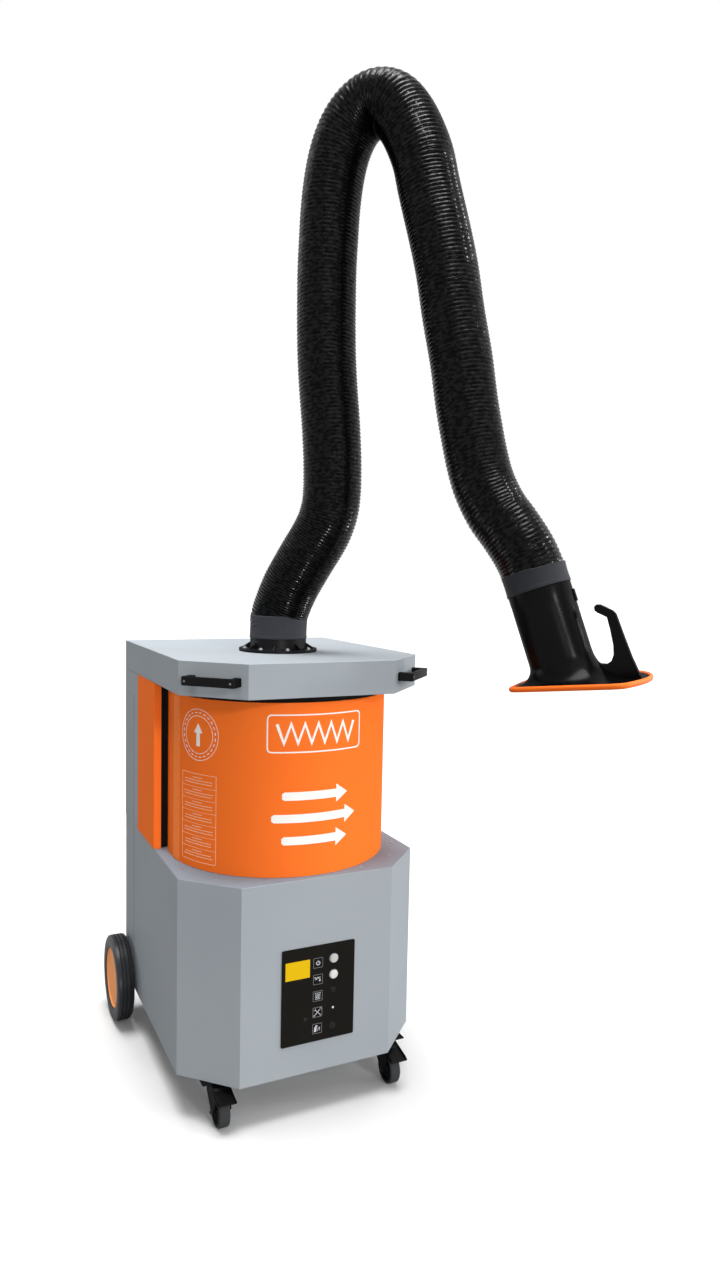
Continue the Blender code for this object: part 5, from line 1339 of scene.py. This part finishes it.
def caster_wheel(side):
    low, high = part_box("caster_wheel_" + side)
    place = looking(0.5 * (low + high), (1.0, 0.0, 0.0))
    half = 0.5 * (high.x - low.x)
    radius = 0.5 * (high.z - low.z)
    tread = mirrored([(radius - 0.007, half - 0.0025), (radius - 0.0035, half), (radius, half - 0.004)])
    piece("caster_tread_" + side, spun(rounded(tread, 0.002, 3), ROLLER_SIDES, place), TREAD_RUBBER,
          "caster_roller_" + side, "black_rubber", "caster_wheel_" + side)
    core = mirrored([
        (0.0045, half - 0.001), (0.011, half - 0.001), (0.0125, half - 0.005), (radius - 0.013, half - 0.006),
        (radius - 0.0105, half - 0.001), (radius - 0.0062, half - 0.0015)])
    piece("caster_hub_" + side, spun(core, ROLLER_SIDES, place), BLACK_PLASTIC,
          "caster_roller_" + side, "black_plastic")


def cover_outlines(top):
    """The cover's side, and its skin over the wheel: behind the axle, over it, and rounding."""
    side = ((-0.0115, 0.002, 0.004), (-0.007, -0.0110, 0.007), (0.008, -0.0110, 0.006),
            (0.018, 0.006, 0.006), (0.0440, 0.030, 0.006), (0.0540, 0.044, 0.003), (0.0540, top, 0.001),
            (-0.004, top, 0.002), (-0.026, 0.0400, 0.003), (-0.0200, 0.022, 0.006))
    skin = ((0.0440, 0.0300, 0), (0.0540, 0.0440, 0.003), (0.0540, top, 0.001), (-0.004, top, 0.002),
            (-0.026, 0.0400, 0.0005), (-0.0225, 0.0385, 0.0005), (-0.004, 0.0505, 0.008),
            (0.0225, 0.0500, 0.012), (0.0425, 0.0330, 0))
    return rounded(side), rounded(skin)


def caster_cover(side):
    """Side plates, and a skin that runs over the wheel from its rear to under the pedal."""
    axle = middle_of("caster_wheel_" + side)
    fork = "caster_fork_" + side
    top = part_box(fork)[1].z - axle.z
    turn = Matrix(((0, 0, 1, 0), (1, 0, 0, 0), (0, 1, 0, 0), (0, 0, 0, 1)))
    place = Matrix.Translation(axle) @ turn
    half = 0.5 * COVER_WIDTH
    inner = half - COVER_WALL
    cheek, skin = cover_outlines(top)
    parts = [filled(cheek, COVER_WALL, lifted(place, -half)), filled(cheek, COVER_WALL, lifted(place, inner)),
             filled(skin, 2 * (inner - COVER_PLAY), lifted(place, COVER_PLAY - inner))]
    piece("caster_cover_" + side, one_form(parts), CASTER_PLASTIC, BODY_OF[fork], "black_plastic", fork,
          edge=0.0009)
    low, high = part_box("caster_plate_" + side)
    under = Matrix.Translation((0.5 * (low.x + high.x), 0.5 * (low.y + high.y), low.z - RING_DROP))
    piece("caster_ring_" + side, spun(rounded(RING_OUTLINE, steps=3), RING_SIDES, under), CASTER_PLASTIC,
          "cabinet", "black_plastic")
    nuts = [(axle + Vector((way * half, 0.0, 0.0)), Vector((way, 0.0, 0.0))) for way in (-1, 1)]
    grow_heads("caster_axle_nuts_" + side, nuts, DARK_SCREW, AXLE_NUT, "black_plastic", BODY_OF[fork])


def caster_pedal(side):
    """A broad plate that slopes down to the front, ribbed where the foot presses."""
    node = "caster_pedal_" + side
    low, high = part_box(node)
    middle = 0.5 * (low.x + high.x)
    rear = Vector((middle, high.y + PEDAL_REAR[0], high.z + PEDAL_REAR[1]))
    front = Vector((middle, low.y + PEDAL_FRONT[0], low.z + PEDAL_FRONT[1]))
    slope = front - rear
    place = looking(0.5 * (front + rear), Vector((1.0, 0.0, 0.0)).cross(slope), -slope)
    broad = 0.5 * (high.x - low.x) + PEDAL_OVERHANG
    half = 0.5 * slope.length
    plate = [(-broad, -half, 0.003), (broad, -half, 0.003), (broad - 0.0015, 0.3 * half, 0.004),
             (broad - 0.009, half, 0.003), (0.009 - broad, half, 0.003), (0.0015 - broad, 0.3 * half, 0.004)]
    parts = [filled(rounded(plate), PEDAL_WALL, lifted(place, -PEDAL_WALL))]
    for step in range(TOE_RIBS):
        rib = rectangle(1.5 * broad, TOE_RIB_WIDTH, 0.0, TOE_RIB_START - half + TOE_RIB_PITCH * step)
        parts.append(filled(rib, TOE_RIB_HEIGHT, lifted(place, -SUNK)))
    for way in (-1, 1):
        web = rectangle(WEB_WIDTH, 1.55 * half, way * (broad - WEB_INSET), -0.1 * half)
        parts.append(filled(web, WEB_HEIGHT, lifted(place, -WEB_DROP)))
    piece("brake_pedal_" + side, one_form(parts), CASTER_PLASTIC, BODY_OF[node], "black_plastic", node,
          edge=0.0007)


for side in SIDES:
    caster_wheel(side)
for side in SIDES:
    caster_cover(side)
    caster_pedal(side)


# The control panel: thin plate, yellow label, five thin signs, two push buttons and dark lenses

PANEL_LOW, PANEL_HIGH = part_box("control_panel")
PANEL_PROUD = 0.0030
PANEL_FACE_Y = PANEL_HIGH.y - PANEL_PROUD
PANEL_WALL = 0.0028
PANEL_CORNER = 0.0045
LABEL_SPOT = (-0.0568, -0.7658)
LABEL_SIZE = (0.0650, 0.0460)
LABEL_CORNER = 0.0008
LABEL_THICKNESS = 0.0003
SIGN_NAMES = ("switch_sign", "speed_sign", "filter_care_sign", "service_sign", "manual_sign")
SIGN_LEVELS = (-0.7556, -0.7984, -0.8414, -0.8832, -0.9256)
SIGN_OUT = -0.0020
SIGN_SIZE = 0.0255
SIGN_LINE = 0.0007
SIGN_CORNER = 0.0016
SIGN_THICKNESS = 0.00015
BUTTON_OUT = 0.0402
BUTTON_SPOTS = (("button_start", -0.7500, "BDBDB8"), ("button_stop", -0.7915, "D4D4D1"))
BUTTON_SIDES = 48
BUTTON_RADIUS = 0.0104
BUTTON_PLAY = 0.0003
BEZEL_RADIUS = 0.0122
BEZEL_HEIGHT = 0.0020
SUNK_FOOT = -0.0004
# Each lens: its name, its place on the panel and its radius
LENSES = (("ready_lens", 0.0405, -0.8325, 0.0075), ("fault_lens", 0.0395, -0.9255, 0.0088),
          ("service_lens", -0.0345, -0.8960, 0.0052))
LAMP_SPOT = (0.0402, -0.8790)
LENS_SIDES = 40
LAMP_SIDES = 32
# Outlines of radius, height over the panel and rounding
CAP_FACE = (
    (0.0, 0.0046, 0), (0.0050, 0.0046, 0.0004), (0.0056, 0.0038, 0.0003), (0.0064, 0.0038, 0.0003),
    (0.0070, 0.0050, 0.0004), (BUTTON_RADIUS, 0.0046, 0.0012), (BUTTON_RADIUS, 0.0004, 0), (0.0, 0.0004, 0))
LAMP_DOME = (
    (0.0, 0.0014, 0), (0.0018, 0.0013, 0.001), (0.0029, 0.0006, 0.0008), (0.0030, SUNK_FOOT, 0),
    (0.0, SUNK_FOOT, 0))


def on_panel(x=0.0, z=0.0, lift=0.0):
    """A place on the panel's face: X to the right from its middle, Y up from the lid, Z out of it."""
    return looking((MIDDLE + x, PANEL_FACE_Y - lift, LID + z), (0.0, -1.0, 0.0))


def pierced(outline, holes, thickness, place):
    """A flat plate with holes through it, from the plane of its place to its thickness."""
    form = bmesh.new()
    edges = []
    for loop in (outline, *holes):
        points = [form.verts.new((x, y, 0.0)) for x, y in loop]
        edges += [form.edges.new((points[index - 1], points[index])) for index in range(len(points))]
    bmesh.ops.triangle_fill(form, use_beauty=True, use_dissolve=False, edges=edges)
    return placed(raised(form, thickness), place)


def dress_plate():
    width, height = PANEL_HIGH.x - PANEL_LOW.x, PANEL_HIGH.z - PANEL_LOW.z
    level = 0.5 * (PANEL_LOW.z + PANEL_HIGH.z) - LID
    holes = [circle(BUTTON_RADIUS + BUTTON_PLAY, BUTTON_SIDES, BUTTON_OUT, z)
             for node, z, colour in BUTTON_SPOTS]
    outline = rounded(rectangle(width, height, 0.0, level), PANEL_CORNER, 6)
    plate = pierced(outline, holes, PANEL_WALL, on_panel(lift=-PANEL_WALL))
    piece("panel_plate", plate, PANEL_FACE, "cabinet", "panel_black", "control_panel", edge=0.0006)


def printed(name, pieces, finish, x, z):
    form = placed(raised(drawn(pieces), SIGN_THICKNESS), on_panel(x, z))
    piece(name, form, finish, "cabinet", "button_grey")


def switch_picture():
    """A ring with a gap at its top, and a stroke in the gap."""
    ring = ribbon(arc(0.0, -0.0005, 0.0047, 120, 420), 0.0018)
    return ring + ribbon([(0.0, 0.0005), (0.0, 0.0062)], 0.0016)


def speed_picture():
    """A wave for the air, a stroke, and an arrow down."""
    wave = [(-0.0095 + 0.0011 * step, 0.0042 + 0.0020 * math.sin(0.95 * step)) for step in range(13)]
    return (ribbon(wave, 0.0014) + ribbon([(-0.0085, 0.0005), (-0.0020, 0.0005)], 0.0010)
            + ribbon([(0.0052, 0.0072), (0.0052, -0.0012)], 0.0012)
            + [[(0.0022, -0.0016), (0.0052, -0.0066), (0.0082, -0.0016)]])


def filter_picture():
    """A cartridge seen from its end, in its housing, under three ticks."""
    picture = ribbon(rectangle(0.0118, 0.0118, 0.0, -0.0020), 0.0009, True)
    picture += ribbon(arc(0.0, -0.0020, 0.0030, 0, 330), 0.0016)
    for out in (-0.0062, 0.0, 0.0062):
        picture += ribbon([(out - 0.0020, 0.0088), (out, 0.0062), (out + 0.0020, 0.0088)], 0.0009)
    return picture


def service_picture():
    """Two crossed spanners, each with an open jaw and a ring at its end."""
    picture = []
    for way in (-1, 1):
        jaw = 45 * way
        picture += ribbon([(-0.0078 * way, -0.0078), (0.0062 * way, 0.0062)], 0.0014)
        picture += ribbon(arc(0.0078 * way, 0.0078, 0.0026, jaw - 110, jaw + 110, 10), 0.0009)
        picture += ribbon(arc(-0.0086 * way, -0.0086, 0.0016, 0, 330, 10), 0.0008)
    return picture


def manual_picture():
    """A leaning booklet with its cover open."""
    cover = ribbon([(0.0010, -0.0070), (0.0030, 0.0010), (0.0072, 0.0022), (0.0060, -0.0060)], 0.0012)
    return [[(-0.0088, -0.0080), (-0.0030, -0.0080), (-0.0014, 0.0030), (-0.0072, 0.0046)],
            [(-0.0060, 0.0054), (-0.0008, 0.0040), (0.0010, 0.0078), (-0.0040, 0.0088)], *cover]


def dress_button(node, level, colour):
    place = on_panel(BUTTON_OUT, level)
    hole = BUTTON_RADIUS + BUTTON_PLAY
    ring = ((BEZEL_RADIUS, SUNK_FOOT, 0), (BEZEL_RADIUS, 0.0012, 0.0004),
            (BEZEL_RADIUS - 0.0010, BEZEL_HEIGHT, 0.0004), (hole, BEZEL_HEIGHT, 0.0002), (hole, SUNK_FOOT, 0))
    piece(node + "_ring", spun(rounded(ring, steps=3), BUTTON_SIDES, place), BEZEL_STEEL,
          "cabinet", "bare_steel")
    face = moulded(node + "_cap", colour, "A9A9A5", 0.30, 1500.0, 0.00002)
    piece(node + "_cap", spun(rounded(CAP_FACE, steps=3), BUTTON_SIDES, place), face,
          BODY_OF[node], "button_grey", node)


def dress_lenses():
    for name, x, z, radius in LENSES:
        dome = ((0.0, 0.0012, 0), (0.5 * radius, 0.0011, 0.002), (radius - 0.0006, 0.0004, 0.001),
                (radius, SUNK_FOOT, 0), (0.0, SUNK_FOOT, 0))
        piece(name, spun(rounded(dome, steps=3), LENS_SIDES, on_panel(x, z)), DARK_LENS,
              "cabinet", "panel_black")
    piece("ready_lamp", spun(rounded(LAMP_DOME, steps=3), LAMP_SIDES, on_panel(*LAMP_SPOT)), PALE_PRINT,
          "cabinet", "button_grey", "indicator_lamp")


def dress_panel():
    dress_plate()
    label = rounded(rectangle(*LABEL_SIZE), LABEL_CORNER, 3)
    piece("yellow_label", filled(label, LABEL_THICKNESS, on_panel(*LABEL_SPOT)), YELLOW_LABEL,
          "cabinet", "display_yellow", "display")
    border = frame_band(SIGN_SIZE, SIGN_SIZE, SIGN_LINE, SIGN_CORNER)
    pictures = (switch_picture(), speed_picture(), filter_picture(), service_picture(), manual_picture())
    for name, picture, level in zip(SIGN_NAMES, pictures, SIGN_LEVELS):
        printed(name + "_frame", border, FAINT_PRINT, SIGN_OUT, level)
        printed(name, picture, PALE_PRINT, SIGN_OUT, level)
    for spot in BUTTON_SPOTS:
        dress_button(*spot)
    dress_lenses()


dress_panel()


# Handles, bolts, screws and the joint lines of the sheets

GRIP_BAR = 0.0125
GRIP_FOOT = 0.019
GRIP_FOOT_SLOPE = 0.005
GRIP_HEIGHT = 0.0215
GRIP_PROUD = 0.0398
GRIP_RAISE = 0.0030
GRIP_CORNER = 0.005
GRIP_INNER_CORNER = 0.006
GRIP_SCREW_PLACE = 0.0095
GRIP_SCREW_SUNK = 0.0006
# Each handle: its length, and how far it is moved along the corner
GRIPS = {"left": (0.140, 0.0065), "right": (0.148, 0.0)}
CORNER_TURN = math.radians(45.2)
# The screws of one side of the shelf: out from the middle, and back from the front
SHELF_SCREWS = ((0.299, 0.199), (0.240, 0.098), (0.129, 0.043))


def dress_handle(side, length, shift):
    """A square bar on two feet, with a round screw in each foot's face."""
    node = "handle_" + side
    turn = SIDES[side]
    out = Vector((turn * math.sin(CORNER_TURN), -math.cos(CORNER_TURN), 0.0))
    along = Vector((math.cos(CORNER_TURN), turn * math.sin(CORNER_TURN), 0.0))
    place = looking(middle_of(node) - 0.5 * GRIP_PROUD * out + shift * along + GRIP_RAISE * UP, out)
    half = 0.5 * length
    foot = half - GRIP_FOOT
    under = GRIP_PROUD - GRIP_BAR
    outline = rounded([
        (-half, 0.0, 0), (-half, GRIP_PROUD, GRIP_CORNER), (half, GRIP_PROUD, GRIP_CORNER), (half, 0.0, 0),
        (foot, 0.0, 0), (foot + GRIP_FOOT_SLOPE, under, GRIP_INNER_CORNER),
        (-foot - GRIP_FOOT_SLOPE, under, GRIP_INNER_CORNER), (-foot, 0.0, 0)])
    flat = place @ Matrix(((1, 0, 0, 0), (0, 0, 1, -0.5 * GRIP_HEIGHT), (0, 1, 0, 0), (0, 0, 0, 1)))
    piece("grip_" + side, filled(outline, GRIP_HEIGHT, flat), HANDLE_PLASTIC,
          "cabinet", "black_plastic", node, edge=0.0020, segments=3)
    heads = [(place @ Vector((way * (half - GRIP_SCREW_PLACE), 0.0, GRIP_PROUD - GRIP_SCREW_SUNK)), out)
             for way in (-1, 1)]
    grow_heads("grip_screws_" + side, heads, DULL_SCREW, GRIP_SCREW, "bare_steel")


def dress_bolts():
    bolts = [(in_foot(FULL_TURN * index / BOLTS + ARM_YAW) @ Vector((BOLT_RADIUS, 0.0, FLANGE_HEIGHT)), UP)
             for index in range(BOLTS)]
    grow_heads("foot_bolts", bolts, ZINC_STEEL, BOLT_HEAD, "bare_steel")
    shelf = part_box("base_shelf")[1].z
    screws = [(Vector((MIDDLE + way * x, FRONT + y, shelf)), UP) for way in (-1, 1) for x, y in SHELF_SCREWS]
    grow_heads("shelf_screws", screws, ZINC_STEEL, SHELF_SCREW, "bare_steel")


for side in SIDES:
    dress_handle(side, *GRIPS[side])
dress_bolts()


# Joint strips of the sheets, the screws of the back, and the cable gland

BACK_MARGIN = 0.022
BACK_SCREW_ROWS = 4
JOINT_DEPTH = 0.4768
JOINT_WIDTH = 0.0036
JOINT_THICKNESS = 0.0003
# The sheets that have a joint on each side, and its bottom and top
JOINTED_SHEETS = (("base_shell", 0.1240, 0.6100), ("rear_column", 0.6130, 1.000))
NUT_RIBS = 12
NUT_BORE = 0.0045
NUT_SIDES = 40
NUT_FOOT = 0.0060
NUT_RIB = (0.0012, 0.0014)
NUT_RIB_START = 0.0068
NUT_RIB_MARGIN = 0.0140


def joint_strips():
    """A folded joint up each side, over the lower half and the column."""
    strips = []
    for node, bottom, top in JOINTED_SHEETS:
        low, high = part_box(node)
        for way, x in ((-1, low.x), (1, high.x)):
            place = looking((x, 0.0, 0.0), (way, 0.0, 0.0))
            across = place.inverted() @ Vector((x, JOINT_DEPTH, 0.5 * (bottom + top)))
            strip = rectangle(JOINT_WIDTH, top - bottom, across.x, across.y)
            strips.append(filled(strip, JOINT_THICKNESS, place))
    piece("sheet_joints", one_form(strips), JOINT_SHADE, "cabinet", "grey_paint")


def back_screws():
    out = Vector((0.0, 1.0, 0.0))
    heads = []
    for node in ("back_cover", "rear_column"):
        low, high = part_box(node)
        for x in (low.x + BACK_MARGIN, high.x - BACK_MARGIN):
            for row in range(BACK_SCREW_ROWS):
                share = (row + 0.5) / BACK_SCREW_ROWS
                heads.append((Vector((x, high.y, low.z + share * (high.z - low.z))), out))
    grow_heads("back_screws", heads, ZINC_STEEL, BACK_SCREW, "bare_steel")


def dress_gland():
    """Six-sided foot, ribbed cap with a rounded end, and the dark mouth of the seal."""
    low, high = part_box("cable_gland")
    centre = Vector((0.5 * (low.x + high.x), high.y, 0.5 * (low.z + high.z)))
    place = looking(centre, (0.0, 1.0, 0.0))
    radius = 0.5 * (high.z - low.z)
    foot = high.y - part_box("back_cover")[1].y
    collar = 0.0055 - foot
    cap = rounded([
        (NUT_BORE, collar, 0), (radius - 0.0012, collar, 0.0005), (radius - 0.0016, -0.0060, 0.002),
        (radius - 0.0050, 0.0, 0.001), (0.0062, 0.0, 0.0008), (NUT_BORE, -0.0030, 0)], steps=3)
    forms = [filled(circle(radius, 6), NUT_FOOT, lifted(place, -foot)), spun(cap, NUT_SIDES, place)]
    rib = rectangle(*NUT_RIB, radius - NUT_RIB[0])
    for index in range(NUT_RIBS):
        turned = place @ Matrix.Rotation(FULL_TURN * index / NUT_RIBS, 4, "Z")
        forms.append(filled(rib, foot - NUT_RIB_MARGIN, lifted(turned, NUT_RIB_START - foot)))
    piece("gland_nut", one_form(forms), BLACK_PLASTIC, "cabinet", "black_plastic", "cable_gland")


joint_strips()
back_screws()
dress_gland()


# Light, floor and camera

CAMERA_PLACE = (MIDDLE - 0.85917, FRONT - 1.95042, LID + 0.21624)
CAMERA_TURN = (1.495528, -0.020364, -0.452367)
FOCAL_PIXELS = 881.19
IMAGE_HEIGHT = 1280
SENSOR = 36.0
# Each lamp: where it shines from, scaled to the level that it gives a face turned to it, and its spread
LAMPS = (("key_light", (0.04, -0.14, 0.24), 60), ("top_light", (-0.02, 0.02, 1.46), 34),
         ("side_light", (0.32, -0.04, 0.02), 70), ("fill_light", (-0.09, -0.10, 0.02), 80),
         ("left_light", (-0.22, 0.24, 0.03), 40),
         ("front_glint_light", (-0.03, -0.22, 0.02), 6), ("right_glint_light", (0.18, -0.16, 0.02), 6),
         ("high_glint_light", (0.03, -0.24, 0.10), 6), ("far_glint_light", (0.20, -0.04, 0.04), 6))
ROOM_LEVEL = 0.07
# The floor's shade as the object finds it, and as the camera does
FLOOR_BACK = "6E6E6E"
FLOOR_SEEN = "D3D3D3"
FLOOR_LIFT = 0.03
FLOOR_HALF = 30.0


def stand(made):
    """Adds a lamp or the camera to the scene."""
    bpy.context.scene.collection.objects.link(made)


def seen_directly(nodes):
    """1 for the rays that find a white room and a pale floor: camera, mirror and glass rays."""
    path = nodes.node("ShaderNodeLightPath", {}, {}).socket.node
    rays = Signal(nodes, path.outputs["Is Camera Ray"]) + Signal(nodes, path.outputs["Is Glossy Ray"])
    return (rays + Signal(nodes, path.outputs["Is Transmission Ray"])).least(1.0)


def white_room():
    world = bpy.data.worlds.new("white room")
    bpy.context.scene.world = world
    world.use_nodes = True
    nodes = Nodes(world.node_tree)
    backdrop = world.node_tree.nodes["Background"]
    backdrop.inputs["Color"].default_value = shade("FFFFFF")
    nodes.join(backdrop.inputs["Strength"], seen_directly(nodes) * (1.0 - ROOM_LEVEL) + ROOM_LEVEL)


def soft_lamps():
    for name, source, spread in LAMPS:
        lamp = bpy.data.lights.new(name, "SUN")
        lamp.energy = math.pi * Vector(source).length
        lamp.angle = math.radians(spread)
        made = bpy.data.objects.new(name, lamp)
        made.rotation_euler = Vector(source).to_track_quat("Z", "Y").to_euler()
        stand(made)


def floor():
    finish = Finish("floor_white", FLOOR_SEEN, 0.9)
    nodes = finish.tree.nodes
    lift = nodes.new("ShaderNodeEmission")
    seen = seen_directly(finish)
    finish.feed({"Base Color": finish.mix(seen, FLOOR_BACK, FLOOR_SEEN)})
    finish.join(lift.inputs["Strength"], seen * FLOOR_LIFT)
    both = nodes.new("ShaderNodeAddShader")
    finish.tree.links.new(finish.shader.outputs[0], both.inputs[0])
    finish.tree.links.new(lift.outputs[0], both.inputs[1])
    finish.tree.links.new(both.outputs[0], nodes["Material Output"].inputs["Surface"])
    form = bmesh.new()
    bmesh.ops.create_grid(form, x_segments=8, y_segments=8, size=FLOOR_HALF)
    mesh = bpy.data.meshes.new("floor")
    form.to_mesh(mesh)
    form.free()
    put("floor", mesh, finish, False)


def camera():
    lens = bpy.data.cameras.new("camera")
    lens.sensor_fit = "AUTO"
    lens.sensor_width = SENSOR
    lens.lens = SENSOR * FOCAL_PIXELS / IMAGE_HEIGHT
    lens.clip_start = 0.05
    lens.clip_end = 80.0
    made = bpy.data.objects.new("camera", lens)
    made.location = CAMERA_PLACE
    made.rotation_euler = CAMERA_TURN
    stand(made)
    bpy.context.scene.camera = made


white_room()
soft_lamps()
floor()
camera()
bpy.context.scene.view_settings.view_transform = "Standard"
bpy.context.view_layer.update()
